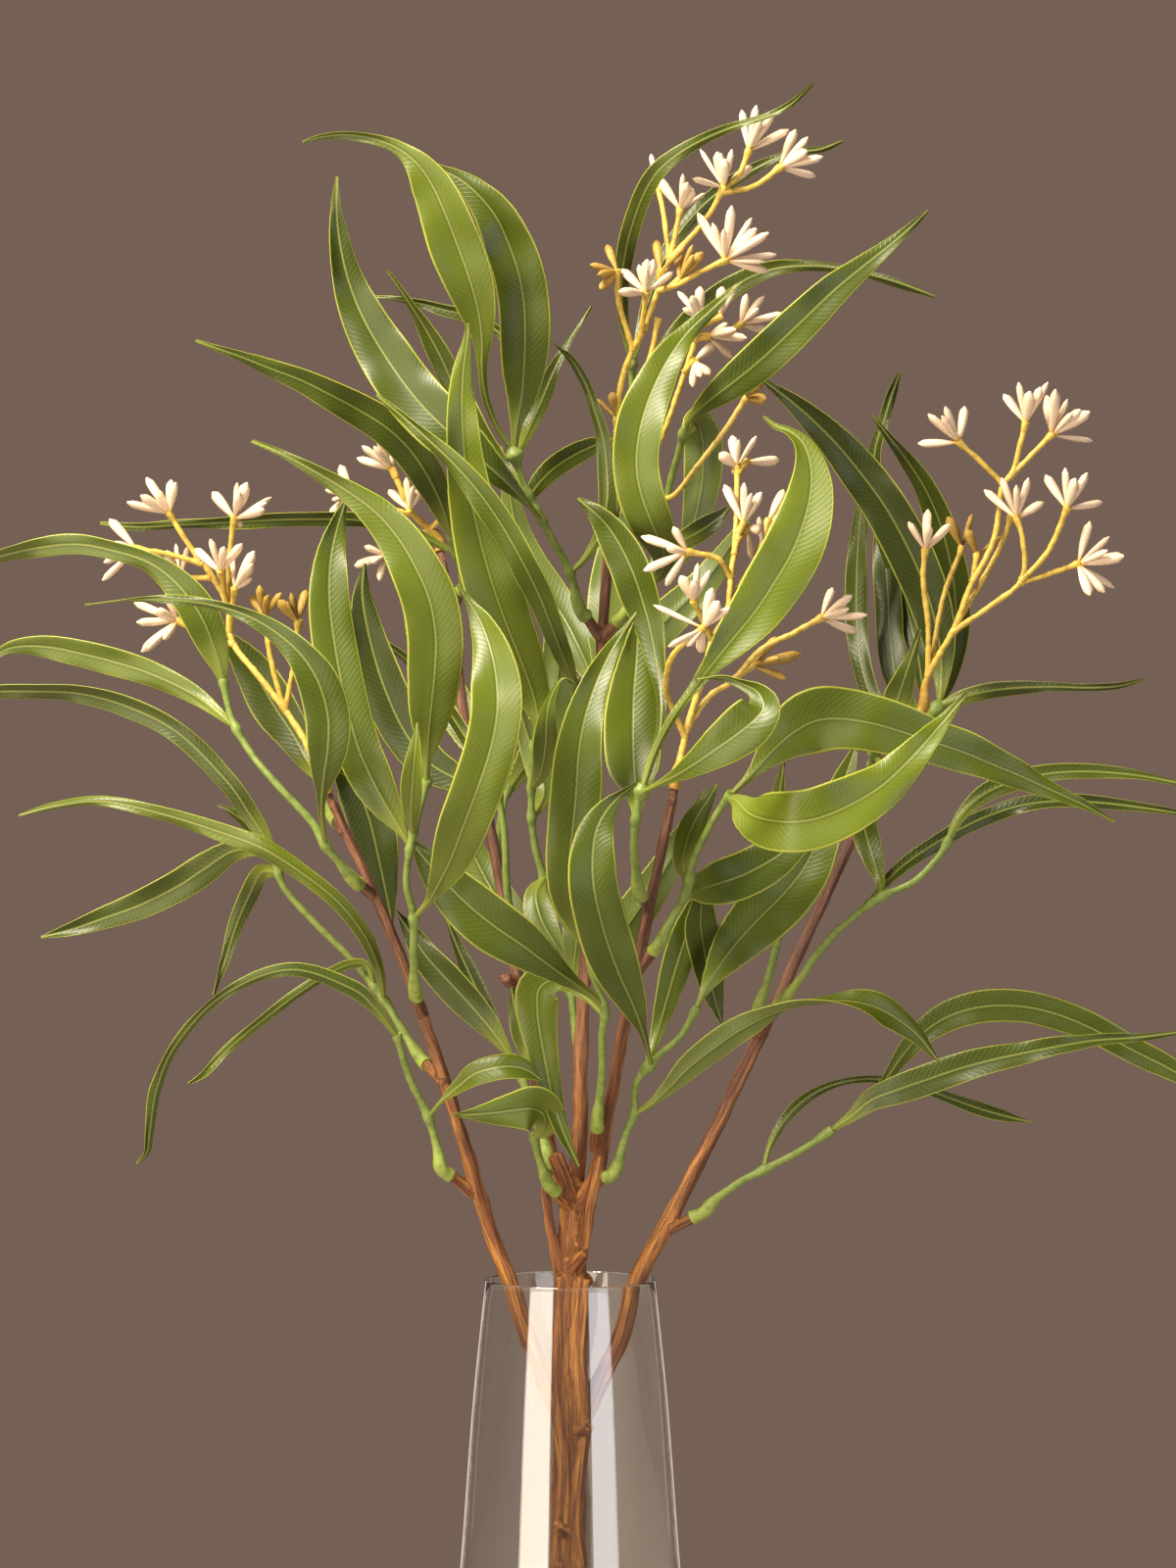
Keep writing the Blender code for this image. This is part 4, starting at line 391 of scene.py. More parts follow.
# %% Sprigs on the right limb
SPRIGS |= {
    "sprig_right_tip_front": planned(
        (126, 500, 21), ((123, 509, 12), (124, 516, 6), (127, 523, 2)),
        leaf((126, 521, 3, 2), (130, 529, 1, 8), (134, 538, 0, 11.5), (137, 547, -2, 8),
             (140, 556, -3, 4), (143, 565, -4, 1), turn=(0, 20)),
        leaf((124, 515, 7, 2), (130, 508, 5, 5), (137, 506, 3, 6), (143, 509, 1, 4),
             (148, 513, 0, 1), turn=(10, 20))),
    "sprig_right_tip": planned(
        (134, 514, 21.5), ((139, 519, 32), (145, 527, 37), (151, 535, 40)),
        leaf((151, 534, 40, 2), (151.5, 544, 42, 6), (151, 557, 43, 13), (148, 572, 43, 17.5),
             (143, 587, 43, 19.5), (136, 602, 43, 20), (128, 616, 43, 19.5), (118.5, 629, 43, 18),
             (108.5, 641, 42, 15), (98, 651.5, 41, 11), (88, 660, 40, 6.5), (77, 668, 38, 1),
             turn=(10, 0)),
        leaf((149, 532, 39, 2), (153.5, 541, 46, 5), (156, 552, 51, 9.5), (157.5, 566, 54, 13),
             (157, 581, 55, 14.5), (154.5, 596, 55, 14.5), (150.5, 610, 55, 13),
             (145, 622.5, 54, 10.5), (138, 633.5, 53, 7.5), (131, 643, 51, 4), (123, 653, 50, 1),
             turn=(10, 20)),
        leaf((146, 528, 37.5, 2), (141, 560, 58, 8), (132, 595, 63, 11), (124, 622, 64, 11),
             (124.5, 638, 64, 7.5), (128, 650, 64, 5.5), (131, 660, 63.5, 3.5), (134.5, 670, 63, 1),
             turn=(20, 20)),
        leaf((144, 526, 36, 2), (133, 526, 40, 5), (124, 536, 44, 8), (119, 551, 48, 9),
             (117, 568, 52, 9.5), (117, 587, 54, 9.5), (118, 606, 55, 8), (120, 623, 56, 3),
             (122, 634, 56, 1), turn=(10, 20)),
        leaf((147, 529, 38, 2), (139, 533, 45, 6), (133, 545, 52, 10), (130.5, 562, 58, 12),
             (129.5, 582, 62, 12.5), (128, 602, 66, 10), (126, 618, 69, 5), (124, 630, 70, 1),
             turn=(0, 20)),
        leaf((150, 533, 39.5, 2), (159, 537, 38, 6), (170, 539.8, 37, 7), (182, 541.2, 36, 6),
             (196, 541.7, 34, 4.3), (211, 541.3, 33, 3), (224, 542, 31, 2.4), (234, 544.7, 30, 1),
             turn=(0, 10))),
    "sprig_right_long": planned(
        (80, 405, 16.5), ((88, 415, 7), (95, 424, 4), (101, 433, 3), (110, 443, 2), (125, 455, 2),
         (140, 462, 2), (150, 472, 2), (155, 480, 2)),
        leaf((154, 478, 2, 2.5), (157.5, 486, 2, 4), (163, 493, 2, 6), (171, 499, 2, 8),
             (182, 503.3, 2, 8.5), (194, 506, 2, 7.5), (207, 507, 2, 6.5), (221, 506.5, 2, 5.5),
             (235, 504.8, 2, 4.3), (255, 501, 2, 1), turn=(10, 20)),
        leaf((122, 453, 2, 2), (128, 461, 7, 4), (137, 469.5, 11, 6), (148, 477, 13, 6.5),
             (160, 484, 14, 6.5), (172, 489.5, 15, 7), (185, 493.5, 15, 7.5), (200, 495, 15, 6.5),
             (216, 494.3, 15, 5), (233, 492.3, 14.5, 4), (255, 489, 14, 1), turn=(10, 15)),
        leaf((127.5, 456, 2, 2), (126.5, 462, 6, 4), (124, 470, 8, 8), (121, 480, 10, 11),
             (119, 490, 10, 10), (118, 500, 10, 3), (117.5, 505, 10, 1))),
    "sprig_right_inner": planned(
        (77, 399, 16), ((77, 411, 7), (81, 424, 4), (85, 440, 3), (86, 455, 3)),
        leaf((86, 453, 3, 1.9), (84, 470, 5, 12.3), (85, 492, 5, 9.8), (88, 515, 4, 0.8),
             turn=(20, 30))),
    "sprig_right_low": planned(
        (38, 319, 6), ((50, 325, 4), (60, 333, 3), (70, 340, 2), (80, 345, 1), (95, 353, 0),
         (107, 361, -1)),
        leaf((107, 360.5, -1, 2), (115, 366.5, -3, 5), (123, 373, -5, 9), (132, 376.5, -7, 11.5),
             (145, 381, -8, 13), (158, 385.5, -8, 13), (172, 389.3, -8, 11.5),
             (186, 392.3, -8, 9.5), (200, 395, -8, 7.5), (215, 397.3, -7, 5), (232, 398.5, -6, 3.5),
             (252, 401, -4, 1), turn=(10, 15)),
        leaf((104, 359, -1, 2), (115, 367, 4, 2.5), (124, 375, 8, 3), (130, 383, 9, 4),
             (135.5, 391, 9, 7), (143, 399.5, 9, 10), (153, 406.5, 9, 12.5), (165, 410.5, 8, 13.5),
             (178, 411.5, 8, 13.7), (191, 410, 8, 13.3), (204, 406, 8, 12.8), (217, 400, 8, 12),
             (230, 393, 8, 11), (243, 386.5, 8, 9.5), (258, 378, 8, 6), (275, 368, 8, 1),
             turn=(5, 10)),
        leaf((79, 344.5, 1, 2), (81, 353, 4, 2.5), (85.5, 362, 7, 4), (92, 370, 9, 5),
             (100, 376, 11, 4), (110, 380, 13, 3), (122, 381.5, 16, 3), (135, 380, 18, 3.5),
             (147, 376.5, 19, 4), (158, 372.5, 20, 5), (168, 369, 20, 6), (177, 366.5, 20, 5),
             (183, 365, 20, 2.5), (188, 364, 20, 1), turn=(0, 10))),
}
print("sprigs so far:", len(SPRIGS))

# %% Sprigs at the back
SPRIGS |= {
    "sprig_rear_low": planned(
        (4, 376, 5.5), ((4, 385, 16), (2, 400, 28), (0, 420, 40)),
        leaf((0, 418, 39, 2.7), (-20, 440, 52, 17.1), (-38, 470, 58, 13.5), (-50, 502, 60, 1.1),
             turn=(170, 190)),
        leaf((0, 417, 38, 2.7), (20, 440, 56, 17.1), (40, 470, 62, 13.5), (55, 500, 62, 1.1),
             turn=(170, 180)),
        leaf((0, 419, 39, 2.4), (4, 450, 52, 15.2), (8, 490, 57, 12), (10, 530, 56, 1),
             turn=(190, 180))),
    "sprig_rear_high": planned(
        (9.5, 499, 11.5), ((10, 508, 22), (12, 522, 34), (12, 540, 44)),
        leaf((12, 538, 43, 2.7), (0, 565, 56, 17.1), (-20, 600, 62, 13.5), (-28, 640, 60, 1.1),
             turn=(170, 190)),
        leaf((12, 537, 42, 2.7), (30, 560, 56, 17.1), (55, 585, 62, 13.5), (75, 615, 60, 1.1),
             turn=(190, 180)),
        leaf((12, 539, 43, 2.4), (14, 575, 60, 15.2), (20, 610, 66, 12), (26, 645, 64, 1),
             turn=(180, 180))),
    "sprig_rear_left": planned(
        (-30, 469, 32.5), ((-30, 477, 43), (-28, 490, 54), (-26, 500, 62)),
        leaf((-26, 499, 61, 2.7), (-45, 530, 76, 17.1), (-60, 560, 80, 13.5), (-68, 595, 76, 1.1),
             turn=(180, 170)),
        leaf((-26, 498, 60, 2.7), (-10, 525, 76, 17.1), (-5, 560, 80, 13.5), (-15, 600, 78, 1.1),
             turn=(170, 180)),
        leaf((-26, 500, 62, 2.7), (-28, 540, 84, 17.1), (-35, 580, 88, 13.5), (-38, 625, 84, 1.1),
             turn=(190, 180))),
}
print("sprigs in all:", len(SPRIGS))

# %% [markdown]
# ## The sprays' lines
#
# A spray is a yellow stalk that parts into thin arms, with a bunch of buds at most ends. A rule
# for branching could grow one, but not this one, so each arm is listed by its points. Of a bud
# only the tip is listed, as the front view shows it: it starts where its arm ends.

# %% Bud sprays
SPRAYS = {
    "spray_left": planned(
        (-96.5, 492.5, -20.9), ((-99, 498, -21), (-108, 519, -19), (-117, 533, -16),
         (-128, 547, -13), (-138, 560, -10), (-140, 575, -8), (-147, 588, -6), (-152, 594, -6)),
        cluster(((-151, 593, -6), (-158, 603, -6), (-164, 613, -6)), (-173, 627), (-181, 617),
                (-169, 622), (-163, 626), (-161, 625)),
        cluster(((-150, 592, -6), (-165, 596, -6), (-178, 598, -6)), (-188, 610), (-191, 585),
                (-187, 600)),
        cluster(((-140, 574, -8), (-139, 595, -10), (-137, 611, -12)), (-146, 621), (-136, 625),
                (-132, 625), (-122, 619), (-125, 614), (-134, 607)),
        cluster(((-140, 573, -8), (-143, 589, -13)), (-153, 598), (-147, 602), (-134, 600)),
        cluster(((-139, 564, -9), (-137, 582, -14)), (-138, 596), (-129, 597), (-130, 586)),
        cluster(((-146, 586, -6), (-160, 586, -1)), (-161, 600), (-173, 595), (-156, 599)),
        cluster(((-137, 559, -10), (-150, 563, -9), (-161, 569, -8)), (-178, 576), (-165, 580),
                (-177, 568), (-175, 556), (-166, 561)),
        cluster(((-117, 533, -16), (-122, 552, -16), (-125, 571, -16)), (-130, 579), (-118, 580),
                (-127, 583)),
        cluster(((-116, 532, -16), (-113, 550, -18), (-111, 569, -20)), (-108, 581), (-114, 580),
                (-119, 577))),
    "spray_rear": planned(
        (-51.8, 590.5, 49.3), ((-53, 597, 50), (-59, 607, 50), (-65, 613, 49), (-69, 622, 48),
         (-72, 629, 48)),
        cluster(((-71, 627, 48), (-73, 631, 48)), (-87, 635), (-85, 640), (-79, 644), (-74, 643)),
        cluster(((-61, 608, 49.5), (-66, 614, 47)), (-74, 622), (-67, 627), (-60, 625)),
        cluster(((-65, 612, 49), (-80, 616, 48), (-90, 620, 48)), (-94, 632), (-100, 622),
                (-98, 612)),
        cluster(((-58, 606, 50), (-68, 600, 50), (-76, 595, 50)), (-88, 591), (-84, 599),
                (-78, 585)),
        cluster(((-58, 605, 50), (-52, 611, 48)), (-48, 620), (-55, 621))),
    "spray_top": planned(
        (16.9, 615.5, 15), ((17.3, 621, 15), (19, 645, 14), (20, 660, 12), (22, 670, 11),
         (26, 680, 10), (30, 687, 9)),
        cluster(((26, 679, 10), (20, 698, 8), (19, 712, 6)), (15, 722), (8, 714), (12, 704)),
        cluster(((29, 685, 9), (31, 703, 4)), (21, 712), (28, 714), (34, 716), (42, 711),
                (20, 703)),
        cluster(((30, 687, 9), (36, 704, 9), (41, 718, 10), (45, 737, 12)), (36, 749), (46, 751),
                (50, 745), (55, 743)),
        cluster(((36, 704, 9), (37, 712, 8)), (35, 724), (47, 722)),
        cluster(((40, 716, 10), (38, 735, 17), (35, 748, 21)), (33, 759)),
        cluster(((40, 716, 10), (55, 732, 10), (63, 746, 10)), (53, 761), (60, 760), (66, 761),
                (74, 754), (50, 749)),
        cluster(((62, 744, 10), (69, 751, 11), (73, 761, 12)), (70, 777), (76, 779), (83, 776),
                (89, 769)),
        cluster(((62, 743, 10), (75, 746, 11), (86, 754, 12)), (92, 769), (97, 766), (103, 758),
                (100, 750)),
        cluster(((18, 632, 15), (28, 635, 12), (36, 641, 9), (45, 665, 7), (50, 680, 6),
                (53, 690, 6))),
        cluster(((40, 702, 8), (44, 706, 7), (53, 711, 6), (64, 716, 6)), (52, 735), (58, 731),
                (66, 738), (74, 733), (81, 727), (84, 718), (81, 711)),
        cluster(((51, 683, 6), (53, 693, 3)), (44, 703), (53, 705), (46, 696)),
        cluster(((53, 688, 6), (62, 693, 6)), (68, 706), (62, 705)),
        cluster(((52, 685, 6), (63, 686, 8), (70, 690, 9)), (79, 701), (72, 702), (87, 694),
                (80, 687)),
        cluster(((47, 670, 7), (51, 675, 4)), (59, 682), (50, 664), (57, 669)),
        cluster(((18, 631, 15), (30, 622, 8), (41, 619, 1), (52, 632, 0), (62, 645, 1),
                (72, 660, 2)), (78, 666), (67, 668), (80, 659)),
        cluster(((41, 700, 8), (45, 708, 7)), (44, 722), (50, 722), (54, 719)),
        cluster(((50, 684, 6), (57, 685, 6)), (66, 676), (72, 684), (64, 690)),
        cluster(((18.5, 640, 14), (19, 652, 13)), (11, 659), (17, 662)),
        cluster(((20, 645, 13), (27, 660, 10), (33, 678, 8), (36, 692, 8)))),
    "spray_centre": planned(
        (41.7, 494.5, -31.9), ((42.6, 500, -32), (45, 512, -30), (47, 522, -29), (51, 536, -29),
         (55, 549, -30), (58, 561, -31), (64, 572, -31), (66, 590, -29), (69, 606, -27)),
        cluster(((66, 586, -29), (60, 594, -31), (47, 597, -32)), (29, 603), (42, 607), (30, 589),
                (39, 583)),
        cluster(((69, 604, -27), (71, 609, -27)), (63, 624), (71, 625), (78, 621)),
        cluster(((67, 595, -28), (68, 615, -23), (68, 632, -19)), (66, 644), (76, 644), (61, 637)),
        cluster(((64, 574, -30), (73, 589, -25), (79, 599, -23)), (86, 613), (77, 611)),
        cluster(((58, 561, -31), (50, 577, -36)), (52, 592), (45, 587), (57, 589)),
        cluster(((47, 521, -29), (42, 532, -31), (39, 541, -35), (41, 553, -42), (48, 561, -46),
                (55, 566, -48)), (34, 575), (58, 582), (65, 574), (53, 556), (40, 558)),
        cluster(((48, 525, -29), (57, 538, -27), (66, 544, -27), (78, 557, -27), (90, 563, -26),
                (103, 570, -26)), (107, 582), (115, 579), (121, 571), (117, 564)),
        cluster(((66, 544, -27), (75, 551, -24)), (94, 555), (88, 545), (84, 562)),
        cluster(((68, 628, -20), (72, 634, -18)), (85, 634), (66, 629)),
        cluster(((76, 596, -23), (81, 610, -20)), (87, 622)),
        cluster(((70, 600, -27), (73, 607, -26)), (74, 594), (78, 606))),
    "spray_right": planned(
        (139.3, 523.5, 22), ((142, 529.5, 22), (146, 546, 21), (157, 566, 19), (163, 582, 18),
         (173, 602, 18), (176, 622, 18), (181, 629, 18)),
        cluster(((177, 624, 18), (168, 633, 17), (158, 642, 16)), (142, 641), (146, 653),
                (153, 656), (161, 656)),
        cluster(((181, 628, 18), (186, 650, 18)), (177, 661), (183, 666), (192, 664), (195, 666)),
        cluster(((180, 628, 18), (189, 637, 18), (197, 645, 18)), (194, 661), (203, 659),
                (212, 654), (213, 642), (198, 663)),
        cluster(((146, 546, 21), (146, 567, 20), (144, 585, 19), (145, 598, 18)), (146, 614),
                (138, 609), (155, 608)),
        cluster(((147, 549, 21), (152, 577, 25), (160, 599, 27)), (164, 612), (154, 611)),
        cluster(((164, 584, 18), (166, 596, 25)), (176, 603), (162, 606)),
        cluster(((156, 564, 19), (172, 575, 16), (184, 585, 14), (185, 600, 13), (182, 611, 13)),
                (169, 622), (176, 627), (187, 627), (193, 617)),
        cluster(((184, 585, 14), (195, 597, 12), (203, 615, 10)), (194, 628), (202, 631),
                (211, 629), (217, 617)),
        cluster(((183, 584, 14), (196, 588, 14), (208, 592, 14)), (212, 609), (220, 603),
                (226, 595), (222, 582), (212, 579)),
        cluster(((157, 566, 19), (168, 585, 20), (176, 600, 20), (180, 612, 18)))),
}
print("sprays:", len(SPRAYS), "arms:", sum(len(plan["parts"]) for plan in SPRAYS.values()))

# %% [markdown]
# ## Colours and nodes
#
# Colours are written as the hex codes that a paint program shows. Those are sRGB values, and a
# shader needs linear ones, so one function turns them. Another adds a node to any tree, for a
# surface as well as for Geometry Nodes, and links its inputs in the same call.

# %% Colour and node helpers
def rgb(code):
    """An sRGB hex colour as the linear values that Blender works with."""
    parts = [int(code[k:k + 2], 16) / 255 for k in (1, 3, 5)]
    return [c / 12.92 if c <= 0.04045 else ((c + 0.055) / 1.055) ** 2.4 for c in parts] + [1.0]


def add(tree, kind, inputs=(), **settings):
    """Add a node. An input gets a value, a socket, or another node's first output in use."""
    node = tree.nodes.new(kind)
    for key, value in settings.items():
        setattr(node, key, value)
    for key, value in dict(inputs).items():
        if isinstance(value, bpy.types.Node):
            value = next(socket for socket in value.outputs if socket.enabled)
        if isinstance(value, bpy.types.NodeSocket):
            tree.links.new(value, node.inputs[key])
        else:
            node.inputs[key].default_value = value
    return node


def surface(name, **values):
    """A new material: its node tree and its Principled shader, with the given socket values."""
    mat = bpy.data.materials.new(name)
    mat.use_nodes = True
    shader = mat.node_tree.nodes["Principled BSDF"]
    for key, value in values.items():
        shader.inputs[key.replace("_", " ")].default_value = value
    return mat, mat.node_tree, shader


def put(name, data):
    """A new object of that data in the scene."""
    obj = bpy.data.objects.new(name, data)
    bpy.context.scene.collection.objects.link(obj)
    return obj


# %% [markdown]
# ## Lines in space
#
# A few listed points become a stem or a midrib by a smooth curve through all of them. Blender's
# own curve objects could do that too, but a leaf also needs to know which way is across and which
# is up at every place, so the line and its frame are worked out here. Geometry Nodes then grows
# the surface along it.

# %% Smooth lines and their frames
SPLINE_STEPS, FEWEST_STATIONS = 12, 6


def spline(points, steps=SPLINE_STEPS):
    """A dense smooth line through the points, which may be places or plain numbers."""
    padded = [points[0] * 2 - points[1], *points, points[-1] * 2 - points[-2]]
    line = []
    for a, b, c, d in zip(padded, padded[1:], padded[2:], padded[3:]):
        for k in range(steps):
            t = k / steps
            line.append(0.5 * (2 * b + (c - a) * t + (2 * a - 5 * b + 4 * c - d) * t * t
                               + (3 * b - a - 3 * c + d) * t ** 3))
    return line + [points[-1]]


def lengths(line):
    """Distance along the line at each of its points."""
    run = [0.0]
    for a, b in zip(line, line[1:]):
        run.append(run[-1] + (b - a).length)
    return run


def even_stations(line, step):
    """Evenly spaced points of the line, each with its direction and distance."""
    run = lengths(line)
    count = max(FEWEST_STATIONS, round(run[-1] / step))
    made, k = [], 1
    for n in range(count + 1):
        distance = run[-1] * n / count
        while k < len(run) - 1 and run[k] < distance:
            k += 1
        share = (distance - run[k - 1]) / (run[k] - run[k - 1])
        made.append((line[k - 1].lerp(line[k], share), distance))
    places = [point for point, _ in made]
    ahead, behind = places[1:] + places[-1:], places[:1] + places[:-1]
    return [(point, (a - b).normalized(), distance)
            for (point, distance), a, b in zip(made, ahead, behind)]


def nearest_on(axes, point):
    """The point nearest to the given one on any of the broken lines."""
    best = None
    for axis in axes:
        for a, b in zip(axis, axis[1:]):
            share = (point - a).dot(b - a) / (b - a).length_squared
            near = a.lerp(b, min(1.0, max(0.0, share)))
            if best is None or (near - point).length < (best - point).length:
                best = near
    return best


def blend(values, along):
    """The value at a place from 0 to 1 along an evenly spaced list."""
    place = along * (len(values) - 1)
    k = min(int(place), len(values) - 2)
    return values[k] + (values[k + 1] - values[k]) * (place - k)


def smoothed(vectors, reach):
    """Each vector averaged with its neighbours, so that a frame turns evenly."""
    made = []
    for k in range(len(vectors)):
        near = vectors[max(0, k - reach):k + reach + 1]
        made.append(sum(near, Vector()).normalized())
    return made


# %% [markdown]
# ## From a line to a mesh
#
# A node tree can only read what its input carries. So each line goes in as a chain of edges, and
# every point of it carries named values: its place, the direction across, the direction up, sizes
# and where it is on the plant. The tree reads them by name. The result is copied to a plain mesh
# and the modifier is removed, because the frame keeps plain meshes only.

# %% Chains of edges that carry values
VECTORS = ("mid", "across", "up", "size", "place")


def station(mid, across=(0, 0, 0), up=(0, 0, 0), size=(0, 0, 0), place=(0, 0, 0), kind=0):
    """One point of a chain: lengths in millimetres, and kind 0 for a stalk or 1 for the rest."""
    return {"mid": Vector(mid) * MM, "across": across, "up": up,
            "size": [v * MM for v in size], "place": place, "kind": kind}


def chain_object(name, chains):
    """An object of edge chains whose points carry the stations' values."""
    points = [one for chain in chains for one in chain]
    edges, start = [], 0
    for chain in chains:
        edges += [(start + k, start + k + 1) for k in range(len(chain) - 1)]
        start += len(chain)
    mesh = bpy.data.meshes.new(name)
    mesh.from_pydata([one["mid"] for one in points], edges, [])
    for key in VECTORS:
        values = mesh.attributes.new(key, "FLOAT_VECTOR", "POINT")
        values.data.foreach_set("vector", [c for one in points for c in one[key]])
    kinds = mesh.attributes.new("kind", "FLOAT", "POINT")
    kinds.data.foreach_set("value", [float(one["kind"]) for one in points])
    return put(name, mesh)


def grown(obj, tree, settings, extra=()):
    """The object's mesh after its node tree and any more modifiers, with all of them removed."""
    grow = obj.modifiers.new("grow", "NODES")
    grow.node_group = tree
    for item in tree.interface.items_tree:
        if item.name in settings:
            grow[item.identifier] = settings[item.name]
    for kind, values in extra:
        more = obj.modifiers.new(kind.lower(), kind)
        for key, value in values.items():
            setattr(more, key, value)
    shape = obj.evaluated_get(bpy.context.evaluated_depsgraph_get())
    mesh = bpy.data.meshes.new_from_object(shape)
    obj.modifiers.clear()
    obj.data = mesh
    for key in ("mid", "across", "up", "size", "kind", "UVMap"):
        if key in mesh.attributes:
            mesh.attributes.remove(mesh.attributes[key])
    return obj


def outwards(obj):
    """Turn the faces of every closed shell outwards and shade them smooth."""
    bm = bmesh.new()
    bm.from_mesh(obj.data)
    bmesh.ops.recalc_face_normals(bm, faces=bm.faces)
    bm.to_mesh(obj.data)
    bm.free()
    obj.data.shade_smooth()
    return obj


def node_tree(name, inputs):
    """An empty Geometry Nodes tree with named inputs, and its input and output nodes."""
    tree = bpy.data.node_groups.new(name, "GeometryNodeTree")
    tree.interface.new_socket("Geometry", in_out="INPUT", socket_type="NodeSocketGeometry")
    for key, kind, value in inputs:
        socket = tree.interface.new_socket(key, in_out="INPUT", socket_type="NodeSocket" + kind)
        if value is not None:
            socket.default_value = value
    tree.interface.new_socket("Geometry", in_out="OUTPUT", socket_type="NodeSocketGeometry")
    return tree, add(tree, "NodeGroupInput").outputs


# %% [markdown]
# ## The leaf's surface
#
# The blade is a tough, smooth skin with a soft satin gloss. The real one is moulded from a pressed
# leaf, so its veins stand up from it: a pale midrib, fine side veins that run forward to the
# margin, and a thin yellow-green margin. A picture of a leaf could be wrapped round it, but each
# blade already knows at every point how far across and along it is, so the veins are worked out
# from that and always follow the blade. Side veins stand about 2.6 mm apart.

# %% Leaf material
def leaf_material():
    """Satin leaf skin: colours, midrib, side veins and margin from the blade's own attributes."""
    mat, tree, shader = surface("satin_leaf_skin", Roughness=0.38, Specular_IOR_Level=0.36)
    # `blade` holds millimetres across and along and a tint; `v` runs from margin to margin and
    # `s` is above or below
    blade = add(tree, "ShaderNodeAttribute", attribute_name="blade")
    across, along, tint = add(tree, "ShaderNodeSeparateXYZ", {0: blade.outputs["Vector"]}).outputs
    edge = add(tree, "ShaderNodeAttribute", attribute_name="v")
    face = add(tree, "ShaderNodeAttribute", attribute_name="s")
    where = add(tree, "ShaderNodeTexCoord").outputs["Object"]
    depth = add(tree, "ShaderNodeSeparateXYZ", {0: where}).outputs[1]
    cloud = add(tree, "ShaderNodeTexNoise", {"Vector": where, "Scale": 38.0, "Detail": 3.0})
    warp = add(tree, "ShaderNodeTexNoise", {"Vector": where, "Scale": 160.0, "Detail": 2.0})
    off = add(tree, "ShaderNodeMath", {0: across}, operation="ABSOLUTE")
    margin = add(tree, "ShaderNodeMath", {0: edge.outputs["Fac"]}, operation="ABSOLUTE")
    # A vein's line: it leaves the midrib at about 45 degrees and bends forward
    lean = add(tree, "ShaderNodeMath", {0: off, 1: -1.05, 2: along}, operation="MULTIPLY_ADD")
    bent = add(tree, "ShaderNodeMath", {0: warp.outputs[0], 1: 1.6, 2: lean},
               operation="MULTIPLY_ADD")
    wave = add(tree, "ShaderNodeMath", {0: bent, 1: 1.3}, operation="PINGPONG")
    # Each mask: what it reads, from where to where, and the amounts there
    mask = {key: add(tree, "ShaderNodeMapRange",
                     {0: source, 1: start, 2: end, 3: first, 4: last},
                     interpolation_type="SMOOTHSTEP")
            for key, source, start, end, first, last in (
                ("side veins", wave, 0.0, 0.42, 1.0, 0.0),
                ("midrib", off, 0.2, 0.6, 1.0, 0.0),
                # Painted shade: a dark band on both sides of the midrib
                ("painted shade beside the midrib", off, 0.55, 1.5, 0.42, 0.0),
                ("leaf stalk", along, 4.0, 26.0, 0.75, 0.0),
                ("margin", margin, 0.91, 0.97, 0.0, 0.75),
                # Painted shade: leaves get darker the further back they lie
                ("painted shade inside and behind", depth, -0.06, 0.05, 0.0, 0.62))}
    below = add(tree, "ShaderNodeMapRange", {0: face.outputs["Fac"], 1: -0.2, 2: 0.2, 3: 1.0,
                                             4: 0.0})
    veined = add(tree, "ShaderNodeMath", {0: mask["side veins"], 1: 0.08}, operation="MULTIPLY")
    ribbed = add(tree, "ShaderNodeMath", {0: mask["midrib"], 1: 0.42}, operation="MULTIPLY")
    deep = add(tree, "ShaderNodeMix", {0: cloud.outputs[0], 6: rgb("#374406"), 7: rgb("#5c6a12")},
               data_type="RGBA")
    varied = add(tree, "ShaderNodeMix", {0: tint, 6: rgb("#2d3b05"), 7: rgb("#667418")},
                 data_type="RGBA")
    skin = add(tree, "ShaderNodeMix", {0: 0.55, 6: deep.outputs[2], 7: varied.outputs[2]},
               data_type="RGBA")
    # The other colours lie over the skin, one after another
    for amount, colour in ((mask["painted shade inside and behind"], "#232a04"), (below, "#5b682c"),
                           (veined, "#8f9638"), (mask["painted shade beside the midrib"], "#28330a"),
                           (ribbed, "#9fa64c"), (mask["leaf stalk"], "#7f8a36"),
                           (mask["margin"], "#b4b848")):
        skin = add(tree, "ShaderNodeMix", {0: amount, 6: skin.outputs[2], 7: rgb(colour)},
                   data_type="RGBA")
    tree.links.new(skin.outputs[2], shader.inputs["Base Color"])
    # The midrib is pressed in and the side veins stand up
    height = add(tree, "ShaderNodeMath", {0: mask["midrib"], 1: -1.2, 2: mask["side veins"]},
                 operation="MULTIPLY_ADD")
    relief = add(tree, "ShaderNodeBump", {"Height": height, "Strength": 0.2, "Distance": 0.0003})
    tree.links.new(relief.outputs[0], shader.inputs["Normal"])
    return mat
